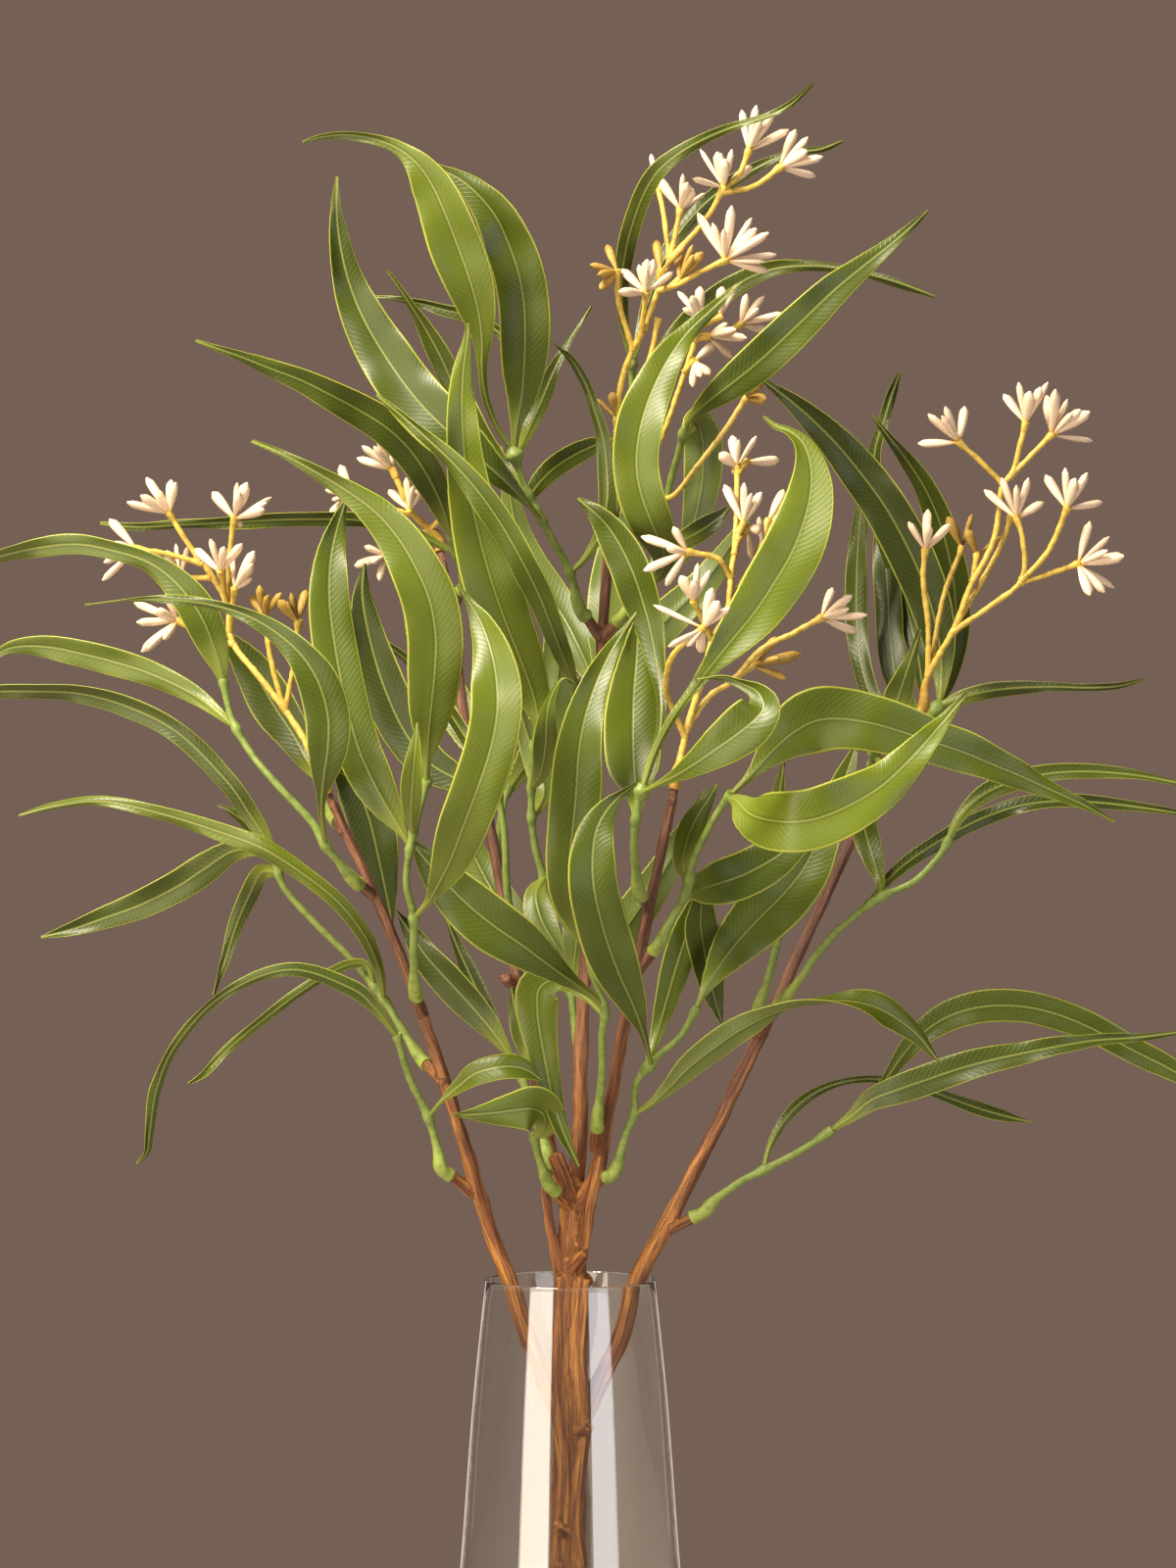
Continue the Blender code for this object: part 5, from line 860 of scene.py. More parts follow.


# %% [markdown]
# ## Stalks, bark, buds and glass
#
# The sprig's stalk is the same moulded skin, paler and a little rough, and most yellow where its
# thick sleeve starts. Bark is dull and fibrous: its grain runs along each limb, orange-brown low
# down and darker purple-brown on the thin limbs. Long golden streaks run along the grain; they are
# partly the bark's own tone and partly painted sheen. The buds are matt and cream, with painted
# shade in their creases, and they turn yellow at their root. Old buds are golden brown all over.
# The glass is clear and bends the light behind it; a coat over it mirrors the lamps more than a
# bare wall would, which gives it the wide bright stripes of such a vase.

# %% Stalk, bark, bud and glass materials
def stalk_material(name, low, high, spot):
    """A moulded stalk: one colour at its sleeve, another at its end, and soft darker spots."""
    mat, tree, shader = surface(name, Roughness=0.5)
    place = add(tree, "ShaderNodeAttribute", attribute_name="place")
    along = add(tree, "ShaderNodeSeparateXYZ", {0: place.outputs["Vector"]}).outputs[0]
    where = add(tree, "ShaderNodeTexCoord").outputs["Object"]
    mottle = add(tree, "ShaderNodeTexNoise", {"Vector": where, "Scale": 320.0, "Detail": 4.0})
    ramp = add(tree, "ShaderNodeMapRange", {0: along, 1: 2.0, 2: 26.0})
    base = add(tree, "ShaderNodeMix", {0: ramp, 6: rgb(low), 7: rgb(high)}, data_type="RGBA")
    spots = add(tree, "ShaderNodeMapRange", {0: mottle.outputs[0], 1: 0.47, 2: 0.66, 3: 0.0,
                                             4: 0.6})
    mixed = add(tree, "ShaderNodeMix", {0: spots, 6: base.outputs[2], 7: rgb(spot)},
                data_type="RGBA")
    tree.links.new(mixed.outputs[2], shader.inputs["Base Color"])
    relief = add(tree, "ShaderNodeBump", {"Height": mottle.outputs[0], "Strength": 0.4,
                                          "Distance": 0.0004})
    tree.links.new(relief.outputs[0], shader.inputs["Normal"])
    return mat


def bark_material():
    """Fibrous bark whose grain follows each limb by the `grain` attribute, in millimetres."""
    mat, tree, shader = surface("fibrous_bark", Roughness=0.5)
    grain = add(tree, "ShaderNodeAttribute", attribute_name="grain")
    long = add(tree, "ShaderNodeMapping", {0: grain.outputs["Vector"], "Scale": (1, 1, 0.045)})
    fibre = add(tree, "ShaderNodeTexNoise", {"Vector": long, "Scale": 1.6, "Detail": 5.0,
                                             "Roughness": 0.65})
    # Long golden streaks along the grain: partly the bark's own tone, partly painted sheen
    broad = add(tree, "ShaderNodeTexNoise", {"Vector": long, "Scale": 0.4, "Detail": 3.0})
    golden = add(tree, "ShaderNodeMapRange", {0: broad.outputs[0], 1: 0.38, 2: 0.62})
    where = add(tree, "ShaderNodeTexCoord").outputs["Object"]
    height = add(tree, "ShaderNodeSeparateXYZ", {0: where}).outputs[2]
    up = add(tree, "ShaderNodeMapRange", {0: height, 1: 0.30, 2: 0.46},
             interpolation_type="SMOOTHSTEP")
    low, high = (add(tree, "ShaderNodeMix", {0: golden, 6: rgb(dull), 7: rgb(bright)},
                     data_type="RGBA")
                 for dull, bright in (("#743d17", "#c5843a"), ("#533428", "#9a6a4e")))
    base = add(tree, "ShaderNodeMix", {0: up, 6: low.outputs[2], 7: high.outputs[2]},
               data_type="RGBA")
    dark = add(tree, "ShaderNodeMapRange", {0: fibre.outputs[0], 1: 0.38, 2: 0.56, 3: 0.75,
                                            4: 0.0})
    streaked = add(tree, "ShaderNodeMix", {0: dark, 6: base.outputs[2], 7: rgb("#4f2811")},
                   data_type="RGBA")
    tree.links.new(streaked.outputs[2], shader.inputs["Base Color"])
    relief = add(tree, "ShaderNodeBump", {"Height": fibre.outputs[0], "Strength": 0.9,
                                          "Distance": 0.0008})
    tree.links.new(relief.outputs[0], shader.inputs["Normal"])
    return mat


def bud_material():
    """Matt cream petals, yellow at the root, with painted beige shade in the creases; old buds are
    golden.
    """
    mat, tree, shader = surface("cream_bud", Roughness=0.6)
    bud = add(tree, "ShaderNodeAttribute", attribute_name="bud")
    up, crease, age = add(tree, "ShaderNodeSeparateXYZ", {0: bud.outputs["Vector"]}).outputs
    where = add(tree, "ShaderNodeTexCoord").outputs["Object"]
    mottle = add(tree, "ShaderNodeTexNoise", {"Vector": where, "Scale": 300.0, "Detail": 3.0})
    root = add(tree, "ShaderNodeMapRange", {0: up, 1: 0.04, 2: 0.26, 3: 1.0, 4: 0.0},
               interpolation_type="SMOOTHSTEP")
    # Painted shade: the creases, which the ring pulls in, are a darker beige
    creased = add(tree, "ShaderNodeMath", {0: crease, 1: 0.35}, operation="MULTIPLY")
    petal, old = (add(tree, "ShaderNodeMix", {0: mottle.outputs[0], 6: rgb(dull), 7: rgb(bright)},
                      data_type="RGBA")
                  for dull, bright in (("#dfc6a6", "#ecd9bd"), ("#775a18", "#c9a44c")))
    for amount, colour in ((creased, rgb("#d9b48f")), (root, rgb("#d9aa3c")),
                           (age, old.outputs[2])):
        petal = add(tree, "ShaderNodeMix", {0: amount, 6: petal.outputs[2], 7: colour},
                    data_type="RGBA")
    tree.links.new(petal.outputs[2], shader.inputs["Base Color"])
    return mat


def glass_material():
    """Clear glass: colourless, and fire-polished to a skin that mirrors the soft boxes."""
    # Such glass has an IOR of about 1.52. The wall bends light a little less here, so that it stays
    # clear up to its edges, and the coat mirrors more, as the stripes on the real vase show
    return surface("clear_soda_lime_glass", Roughness=0.0, IOR=1.38, Base_Color=rgb("#fbfdfd"),
                   Transmission_Weight=1.0, Coat_Weight=1.0, Coat_Roughness=0.0, Coat_IOR=1.66)[0]


LEAF = leaf_material()
SPRIG_STALK = stalk_material("green_sprig_stalk", "#909f44", "#7a8c3e", "#546c26")
SPRAY_STALK = stalk_material("yellow_spray_stalk", "#a87f28", "#ceb04c", "#977526")
BARK = bark_material()
BUD = bud_material()
GLASS = glass_material()
print("materials:", [mat.name for mat in (LEAF, SPRIG_STALK, SPRAY_STALK, BARK, BUD, GLASS)])

# %% [markdown]
# ## Growing a sprig
#
# A sprig is a sleeve and stalk with its leaves. Each blade could be modelled by hand, but all of
# them follow one rule: across the midrib lies a thin section that folds up a little at both sides,
# and the midrib carries it along. So one tree sweeps a closed section along every chain and then
# places each of its points from the values that the chain carries. The section's points crowd at
# the midrib and at the margins, where the shape turns fastest. The margins wave a little.

# %% The blade tree's steps
def swept_blades(tree, chains, sockets):
    """Blades along the chains: sweep a loop of points, then set each point's real place."""
    rail = add(tree, "GeometryNodeMeshToCurve", {0: chains})
    loop = add(tree, "GeometryNodeCurvePrimitiveCircle", {"Resolution": sockets["Columns"]})
    number = add(tree, "GeometryNodeInputIndex")
    turn = add(tree, "ShaderNodeMath", {0: number, 1: sockets["Columns"]}, operation="DIVIDE")
    saw = add(tree, "ShaderNodeMath", {0: turn, 1: 4.0}, operation="MULTIPLY")
    fall = add(tree, "ShaderNodeMath", {0: saw, 1: 2.0}, operation="PINGPONG")
    even = add(tree, "ShaderNodeMath", {0: 1.0, 1: fall}, operation="SUBTRACT")
    # Points that stand evenly from margin to margin are eased towards both
    size = add(tree, "ShaderNodeMath", {0: even}, operation="ABSOLUTE")
    ease = add(tree, "ShaderNodeMath", {0: size, 1: -2.0, 2: 3.0}, operation="MULTIPLY_ADD")
    eased = add(tree, "ShaderNodeMath", {0: ease, 1: size}, operation="MULTIPLY")
    across = add(tree, "ShaderNodeMath", {0: eased, 1: even}, operation="MULTIPLY")
    angle = add(tree, "ShaderNodeMath", {0: turn, 1: TAU}, operation="MULTIPLY")
    side = add(tree, "ShaderNodeMath", {0: angle}, operation="SINE")
    # Above is 1 and below is -1, with a quick turn from one to the other at the margins
    face = add(tree, "ShaderNodeMath", {0: side, 1: 20.0}, operation="MULTIPLY")
    flat = add(tree, "ShaderNodeClamp", {0: face, 1: -1.0, 2: 1.0})
    named = add(tree, "GeometryNodeStoreNamedAttribute",
                {0: loop, "Name": "v", "Value": across}, data_type="FLOAT")
    named = add(tree, "GeometryNodeStoreNamedAttribute",
                {0: named, "Name": "s", "Value": flat}, data_type="FLOAT")
    sheet = add(tree, "GeometryNodeCurveToMesh", {0: rail, 1: named, "Fill Caps": True})
    return placed_blades(tree, sheet, sockets)


def placed_blades(tree, sheet, sockets):
    """Each swept point goes to its place: across, folded up, thick in the middle, and waved."""
    read = {key: add(tree, "GeometryNodeInputNamedAttribute", {"Name": key},
                     data_type="FLOAT_VECTOR") for key in VECTORS}
    v = add(tree, "GeometryNodeInputNamedAttribute", {"Name": "v"}, data_type="FLOAT")
    s = add(tree, "GeometryNodeInputNamedAttribute", {"Name": "s"}, data_type="FLOAT")
    half, rib, skin = add(tree, "ShaderNodeSeparateXYZ", {0: read["size"]}).outputs
    along, swell, seed = add(tree, "ShaderNodeSeparateXYZ", {0: read["place"]}).outputs
    # The halves rise from the midrib and flatten again towards the margins
    reach = add(tree, "ShaderNodeMath", {0: v, 1: half}, operation="MULTIPLY")
    off = add(tree, "ShaderNodeMath", {0: reach}, operation="ABSOLUTE")
    v_size = add(tree, "ShaderNodeMath", {0: v}, operation="ABSOLUTE")
    fold = add(tree, "ShaderNodeMath", {0: off, 1: sockets["Fold"]}, operation="MULTIPLY")
    recurve = add(tree, "ShaderNodeMath", {0: v_size, 1: -0.45, 2: 1.0},
                  operation="MULTIPLY_ADD")
    rise = add(tree, "ShaderNodeMath", {0: fold, 1: recurve}, operation="MULTIPLY")
    folded = add(tree, "ShaderNodeMath", {0: rise, 1: swell}, operation="MULTIPLY")
    # The section is thickest in a narrow ridge along the midrib
    bell = add(tree, "ShaderNodeMapRange", {0: off, 1: 0.0, 2: sockets["Rib width"], 3: 1.0,
                                            4: 0.0}, interpolation_type="SMOOTHSTEP")
    thick = add(tree, "ShaderNodeMath", {0: bell, 1: rib, 2: skin}, operation="MULTIPLY_ADD")
    square = add(tree, "ShaderNodeMath", {0: v, 1: v}, operation="MULTIPLY")
    left = add(tree, "ShaderNodeMath", {0: square, 1: -0.75, 2: 1.0}, operation="MULTIPLY_ADD")
    thin = add(tree, "ShaderNodeMath", {0: left}, operation="SQRT")
    body = add(tree, "ShaderNodeMath", {0: thick, 1: thin}, operation="MULTIPLY")
    lift = add(tree, "ShaderNodeMath", {0: body, 1: s}, operation="MULTIPLY")
    # The margins wave by smooth noise that each leaf and each side reads at its own place
    which = add(tree, "ShaderNodeMath", {0: v}, operation="SIGN")
    row = add(tree, "ShaderNodeMath", {0: seed, 1: 37.0, 2: which}, operation="MULTIPLY_ADD")
    mark = add(tree, "ShaderNodeMath", {0: along, 1: sockets["Wave length"]},
               operation="DIVIDE")
    spot = add(tree, "ShaderNodeCombineXYZ", {0: mark, 1: row, 2: sockets["Seed"]})
    noise = add(tree, "ShaderNodeTexNoise", {"Vector": spot, "Scale": 1.0, "Detail": 0.0})
    level = add(tree, "ShaderNodeMath", {0: noise.outputs[0], 1: 0.5}, operation="SUBTRACT")
    waved = add(tree, "ShaderNodeMath", {0: level, 1: sockets["Wave height"]},
                operation="MULTIPLY")
    outer = add(tree, "ShaderNodeMath", {0: waved, 1: square}, operation="MULTIPLY")
    gentle = add(tree, "ShaderNodeMath", {0: outer, 1: swell}, operation="MULTIPLY")
    both = add(tree, "ShaderNodeMath", {0: folded, 1: lift}, operation="ADD")
    whole = add(tree, "ShaderNodeMath", {0: both, 1: gentle}, operation="ADD")
    aside = add(tree, "ShaderNodeVectorMath", {0: read["across"], "Scale": reach},
                operation="SCALE")
    above = add(tree, "ShaderNodeVectorMath", {0: read["up"], "Scale": whole},
                operation="SCALE")
    spread = add(tree, "ShaderNodeVectorMath", {0: read["mid"], 1: aside}, operation="ADD")
    target = add(tree, "ShaderNodeVectorMath", {0: spread, 1: above}, operation="ADD")
    moved = add(tree, "GeometryNodeSetPosition", {0: sheet, "Position": target})
    reach_mm = add(tree, "ShaderNodeMath", {0: reach, 1: 1 / MM}, operation="MULTIPLY")
    mark3 = add(tree, "ShaderNodeCombineXYZ", {0: reach_mm, 1: along, 2: seed})
    named = add(tree, "GeometryNodeStoreNamedAttribute",
                {0: moved, "Name": "blade", "Value": mark3}, data_type="FLOAT_VECTOR")
    return add(tree, "GeometryNodeSetMaterial", {0: named, "Material": sockets["Skin"]})


# %% [markdown]
# ## Stalks
#
# A stalk is a tube whose radius changes along it. A plain tube looks like wire, so smooth noise
# moves its skin in and out by a few tenths of a millimetre.

# %% The stalk tree's steps
def swept_stalks(tree, chains, sockets):
    """Tubes along the chains, as thick as their `size` says, with small lumps on them."""
    size = add(tree, "GeometryNodeInputNamedAttribute", {"Name": "size"},
               data_type="FLOAT_VECTOR")
    radius = add(tree, "ShaderNodeSeparateXYZ", {0: size}).outputs[0]
    rail = add(tree, "GeometryNodeMeshToCurve", {0: chains})
    ring = add(tree, "GeometryNodeCurvePrimitiveCircle", {"Resolution": sockets["Sides"],
                                                          "Radius": 1.0})
    tube = add(tree, "GeometryNodeCurveToMesh", {0: rail, 1: ring, "Scale": radius,
                                                 "Fill Caps": True})
    noise = add(tree, "ShaderNodeTexNoise", {"Scale": sockets["Lumps per metre"], "Detail": 2.0})
    level = add(tree, "ShaderNodeMath", {0: noise.outputs[0], 1: 0.5}, operation="SUBTRACT")
    part = add(tree, "ShaderNodeMath", {0: level, 1: sockets["Lump height"]},
               operation="MULTIPLY")
    share = add(tree, "ShaderNodeMath", {0: part, 1: radius}, operation="MULTIPLY")
    normal = add(tree, "GeometryNodeInputNormal")
    shift = add(tree, "ShaderNodeVectorMath", {0: normal, "Scale": share}, operation="SCALE")
    lumpy = add(tree, "GeometryNodeSetPosition", {0: tube, "Offset": shift})
    return add(tree, "GeometryNodeSetMaterial", {0: lumpy, "Material": sockets["Stalk"]})


def split_by_kind(tree, chains):
    """The chains of stalks, and the rest."""
    kind = add(tree, "GeometryNodeInputNamedAttribute", {"Name": "kind"}, data_type="FLOAT")
    test = add(tree, "ShaderNodeMath", {0: kind, 1: 0.5}, operation="GREATER_THAN")
    parted = add(tree, "GeometryNodeSeparateGeometry", {0: chains, 1: test}, domain="POINT")
    return parted.outputs[1], parted.outputs[0]


def finish_tree(tree, parts):
    """Join the parts, realise what is still an instance and hand the result on."""
    joined = add(tree, "GeometryNodeJoinGeometry")
    for part in parts:
        tree.links.new(part.outputs[0], joined.inputs[0])
    real = add(tree, "GeometryNodeRealizeInstances", {0: joined})
    add(tree, "NodeGroupOutput", {0: real})
    return tree


# %% The sprig tree
def sprig_tree():
    """The tree of a sprig: tubes along its stalk chains and blades along the rest."""
    tree, sockets = node_tree("sprig", (
        ("Columns", "Int", 28), ("Sides", "Int", 12), ("Fold", "Float", 0.36),
        ("Rib width", "Float", 1.6 * MM), ("Wave height", "Float", 9 * MM),
        ("Wave length", "Float", 26.0), ("Seed", "Float", 4.0),
        ("Lumps per metre", "Float", 170.0), ("Lump height", "Float", 0.4),
        ("Skin", "Material", None), ("Stalk", "Material", None)))
    stalks, blades = split_by_kind(tree, sockets["Geometry"])
    return finish_tree(tree, (swept_stalks(tree, stalks, sockets),
                              swept_blades(tree, blades, sockets)))


SPRIG_TREE = sprig_tree()
print("sprig tree:", len(SPRIG_TREE.nodes), "nodes")

# %% [markdown]
# ## Where sprigs and sprays start
#
# Each is pushed over a short twig, so its line starts at the mouth of its sleeve and runs a few
# millimetres straight before it may bend. The same rule gives the branch its twigs.

# %% Routes from the branch
STUB_REACH, BORE_DEPTH = 13.0, 5.0
# The twigs under sprigs and the thinner ones under sprays
STUB_RADIUS, TIP_STUB_RADIUS = 2.3, 1.7


def stalk_route(plan):
    """The twig's root and a stalk's route: its mouth, the end of its hole, and what follows."""
    root, *points = [seen(*p) for p in (plan["root"], *plan["stalk"])]
    reach = (points[0] - root).length
    direction = (points[0] - root) / reach
    mouth = root + direction * min(reach, STUB_REACH)
    if reach < STUB_REACH + BORE_DEPTH * 2:
        points = points[1:]
    return root, [mouth, mouth + direction * (BORE_DEPTH + 1), *points]


def bump(distance, centre, width):
    """A smooth hill: 1 at its centre, and near 0 one width away."""
    return math.exp(-((distance - centre) / width * 2) ** 2)


# %% [markdown]
# ## The sprigs
#
# A leaf starts at its thin stalk, is widest before its middle and ends in a long fine tip. No two
# are alike, so the list gives a width at each point of the midrib, and how the blade turns about
# it. The stalk has a thick sleeve at its foot and a small knot where each leaf leaves it.

# %% Stations of a leaf and of a stalk
LEAF_STEP, STALK_STEP = 1.7, 0.9
# The leaf's own thin stalk, and the least half width that a tip keeps
PETIOLE, THINNEST = 10.0, 0.35
# Half thicknesses: the rib at the tip and what it gains at the root, the skin, and what the leaf's
# stalk adds to it
RIB_TIP, RIB_GAIN, SKIN, PETIOLE_GAIN = 0.15, 0.4, 0.3, 0.55
SLEEVE, SLEEVE_RADIUS, STALK_RADIUS = 12.0, 2.75, 1.4
# Past its sleeve a stalk keeps two thirds of the sleeve's radius, and thins for 60 mm
NECK, TAPER = 0.66, 60
# How far a knot and the sleeve's lip stand out
KNOT, LIP = 0.75, 0.35


def leaf_chain(item, axis, seed):
    """The stations of one leaf: midrib point, its frame, half width, thickness and place."""
    points = [seen(*p) for p in item["points"]]
    points[0] = nearest_on([axis], points[0])
    line, widths = spline(points), spline(item["widths"])
    run, marks = lengths(line), even_stations(line, LEAF_STEP)
    total = marks[-1][2]
    turned = []
    for point, direction, distance in marks:
        side = direction.cross(EYE - point).normalized()
        front = side.cross(direction).normalized()
        angle = math.radians(blend(item["turn"], distance / total))
        turned.append(side * math.cos(angle) + front * math.sin(angle))
    chain = []
    for (point, direction, distance), across in zip(marks, smoothed(turned, 3)):
        across = (across - direction * across.dot(direction)).normalized()
        up = across.cross(direction)
        u = max(0.0, (distance - PETIOLE) / (total - PETIOLE))
        stalk = max(0.0, 1 - distance / (PETIOLE * 1.6)) ** 0.7
        half = max(widths[min(bisect_left(run, distance), len(run) - 1)] / 2, THINNEST)
        rib = RIB_TIP + RIB_GAIN * (1 - u)
        skin = SKIN + PETIOLE_GAIN * stalk
        swell = math.sin(math.pi * min(1.0, u * 1.6 + 0.05) / 2)
        chain.append(station(point, across, up, (half, rib, skin), (distance, swell, seed), 1))
    return chain


def stalk_chain(points, radius, end_radius, knots):
    """A stalk's stations: a thick sleeve, a taper, and a knot at each listed distance."""
    start, end, neck = SLEEVE * 0.7, SLEEVE * 1.3, radius * NECK
    chain = []
    for point, _, distance in even_stations(spline(points), STALK_STEP):
        thin = neck + (end_radius - neck) * min(1.0, distance / TAPER)
        share = min(1.0, max(0.0, (distance - start) / (end - start)))
        wide = radius * (1 - share) + thin * share + LIP * bump(distance, 0.8, 1.6)
        wide += sum(KNOT * bump(distance, knot, 5.0) for knot in knots)
        chain.append(station(point, size=(wide, 0, 0), place=(distance, 0, 0)))
    return chain


def distance_along(points, place):
    """How far along the smooth line its nearest point to a place is."""
    line = spline(points)
    nearest = min(range(len(line)), key=lambda k: (line[k] - place).length)
    return lengths(line)[nearest]


# %% Grow all sprigs
def build_sprig(name, plan, number):
    """One sprig: its stalk and leaves grow from chains in one tree."""
    route = stalk_route(plan)[1]
    axis = spline(route)
    roots = [nearest_on([axis], seen(*item["points"][0])) for item in plan["parts"]]
    chains = [stalk_chain(route, SLEEVE_RADIUS, STALK_RADIUS,
                          [distance_along(route, root) for root in roots])]
    for k, item in enumerate(plan["parts"]):
        # Each leaf's own number from 0 to 1, for its tint and its wave
        chains.append(leaf_chain(item, axis, (number * 0.37 + k * 0.618) % 1.0))
    obj = chain_object(name.replace("sprig", "leaves"), chains)
    grown(obj, SPRIG_TREE, {"Skin": LEAF, "Stalk": SPRIG_STALK})
    return outwards(obj)


sprigs = {name: build_sprig(name, plan, k) for k, (name, plan) in enumerate(SPRIGS.items())}
print("sprigs:", len(sprigs), "with", sum(len(o.data.polygons) for o in sprigs.values()), "faces")

# %% [markdown]
# ## The bud sprays
#
# A bud is a slim spindle with shallow creases, and the same shape stands in every bunch. So the
# tree makes one bud and sets it on every loose point, turned to its own direction, as long and as
# thick as that point says. The arms are tubes like the stalks, a little thicker where a bunch
# sits.

# %% The spray tree
def bud_shape(tree, sockets):
    """One bud from 0 to 1 along Z: a swept, creased ring whose radius follows a curve."""
    line = add(tree, "GeometryNodeCurvePrimitiveLine", {"End": (0, 0, 1)})
    fine = add(tree, "GeometryNodeResampleCurve", {0: line, "Count": sockets["Bud rows"]})
    along = add(tree, "GeometryNodeSplineParameter").outputs["Factor"]
    shape = add(tree, "ShaderNodeFloatCurve", {"Value": along})
    points = shape.mapping.curves[0].points
    points[0].location, points[1].location = (0, 0.34), (1, 0.22)
    for spot in ((0.14, 0.42), (0.32, 0.68), (0.52, 0.92), (0.72, 1.0), (0.87, 0.92),
                 (0.96, 0.62)):
        points.new(*spot)
    shape.mapping.update()
    marked = add(tree, "GeometryNodeStoreNamedAttribute",
                 {0: fine, "Name": "rise", "Value": along}, data_type="FLOAT")
    ring = add(tree, "GeometryNodeCurvePrimitiveCircle", {"Resolution": sockets["Bud sides"],
                                                          "Radius": 1.0})
    number = add(tree, "GeometryNodeInputIndex")
    crease = add(tree, "ShaderNodeMath", {0: number, 1: 2.0}, operation="MODULO")
    deep = add(tree, "ShaderNodeMath", {0: crease, 1: -0.16, 2: 1.0}, operation="MULTIPLY_ADD")
    place = add(tree, "GeometryNodeInputPosition")
    creased = add(tree, "ShaderNodeVectorMath", {0: place, "Scale": deep}, operation="SCALE")
    flat = add(tree, "ShaderNodeVectorMath", {0: creased, 1: (1.0, 0.8, 1.0)},
               operation="MULTIPLY")
    star = add(tree, "GeometryNodeSetPosition", {0: ring, "Position": flat})
    named = add(tree, "GeometryNodeStoreNamedAttribute",
                {0: star, "Name": "crease", "Value": crease}, data_type="FLOAT")
    return add(tree, "GeometryNodeCurveToMesh", {0: marked, 1: named, "Scale": shape,
                                                 "Fill Caps": True})


def buds_on_points(tree, points, sockets):
    """A bud on each loose point, turned along `across`, sized by `size`."""
    read = {key: add(tree, "GeometryNodeInputNamedAttribute", {"Name": key},
                     data_type="FLOAT_VECTOR") for key in ("across", "size", "place")}
    cloud = add(tree, "GeometryNodeMeshToPoints", {0: points})
    facing = add(tree, "FunctionNodeAlignRotationToVector", {"Vector": read["across"]}, axis="Z")
    roll = add(tree, "ShaderNodeSeparateXYZ", {0: read["place"]}).outputs[0]
    spin = add(tree, "FunctionNodeAxisAngleToRotation", {"Axis": (0, 0, 1), "Angle": roll})
    turned = add(tree, "FunctionNodeRotateRotation", {0: facing, 1: spin},
                 rotation_space="LOCAL")
    length, width, _ = add(tree, "ShaderNodeSeparateXYZ", {0: read["size"]}).outputs
    scale = add(tree, "ShaderNodeCombineXYZ", {0: width, 1: width, 2: length})
    buds = add(tree, "GeometryNodeInstanceOnPoints",
               {0: cloud, "Instance": bud_shape(tree, sockets), "Rotation": turned,
                "Scale": scale})
    real = add(tree, "GeometryNodeRealizeInstances", {0: buds})
    rise = add(tree, "GeometryNodeInputNamedAttribute", {"Name": "rise"}, data_type="FLOAT")
    crease = add(tree, "GeometryNodeInputNamedAttribute", {"Name": "crease"},
                 data_type="FLOAT")
    age = add(tree, "ShaderNodeSeparateXYZ", {0: read["place"]}).outputs[1]
    mark = add(tree, "ShaderNodeCombineXYZ", {0: rise, 1: crease, 2: age})
    named = add(tree, "GeometryNodeStoreNamedAttribute",
                {0: real, "Name": "bud", "Value": mark}, data_type="FLOAT_VECTOR")
    return add(tree, "GeometryNodeSetMaterial", {0: named, "Material": sockets["Bud"]})


def spray_tree():
    """The tree of a spray: tubes along its stalk chains and a bud on each loose point."""
    tree, sockets = node_tree("spray", (
        ("Sides", "Int", 10), ("Bud sides", "Int", 10), ("Bud rows", "Int", 9),
        ("Lumps per metre", "Float", 300.0), ("Lump height", "Float", 0.8),
        ("Bud", "Material", None), ("Stalk", "Material", None)))
    stalks, points = split_by_kind(tree, sockets["Geometry"])
    return finish_tree(tree, (swept_stalks(tree, stalks, sockets),
                              buds_on_points(tree, points, sockets)))


SPRAY_TREE = spray_tree()
print("spray tree:", len(SPRAY_TREE.nodes), "nodes")

# %% Grow all sprays
SPRAY_RADIUS, ARM_RADIUS, KNOB_RADIUS = 2.3, 1.15, 1.7
BUD_RADIUS, BUD_SPREAD = 2.2, 5.0
# Inner buds stand in front between two outer ones, and are shorter
INNER_LENGTH, INNER_DEPTH = 0.75, 5.0
# The bunches of old brown buds, by their place in the spray's list
OLD = {"spray_left": (7, 8), "spray_top": (0, 3, 14, 15, 17), "spray_centre": (7,),
       "spray_right": (4, 5)}


def arm_chain(points):
    """A thin arm that thickens to a knob where its bunch sits."""
    chain = []
    marks = even_stations(spline(points), STALK_STEP)
    total = marks[-1][2]
    for point, _, distance in marks:
        wide = ARM_RADIUS + (KNOB_RADIUS - ARM_RADIUS) * bump(distance, total - 0.8, 5.0)
        wide += 0.5 * bump(distance, 0.0, 4.0)
        # Its colours start where those of the main stalk's sleeve have ended
        chain.append(station(point, size=(wide, 0, 0), place=(distance + 20, 0, 0)))
    return chain


def bunch(points, tips, old, seed):
    """Loose points for the buds of a bunch: each with its direction, length and thickness."""
    base = points[-1] - (points[-1] - points[-2]).normalized() * 0.8
    made = []
    inner = [base + ((a - base) * 0.5 + (b - base) * 0.5).normalized()
             * (a - base).length * INNER_LENGTH + Vector((0, -INNER_DEPTH, 0))
             for k, (a, b) in enumerate(zip(tips, tips[1:])) if k % 2]
    for k, tip in enumerate([*tips, *inner]):
        reach = tip - base
        width = BUD_RADIUS * (0.9 + 0.25 * math.sin(3.1 * k + seed))
        made.append([station(base, across=reach.normalized(), size=(reach.length, width, 0),
                             place=(2.0 * k + seed, old, 0), kind=1)])
    return made


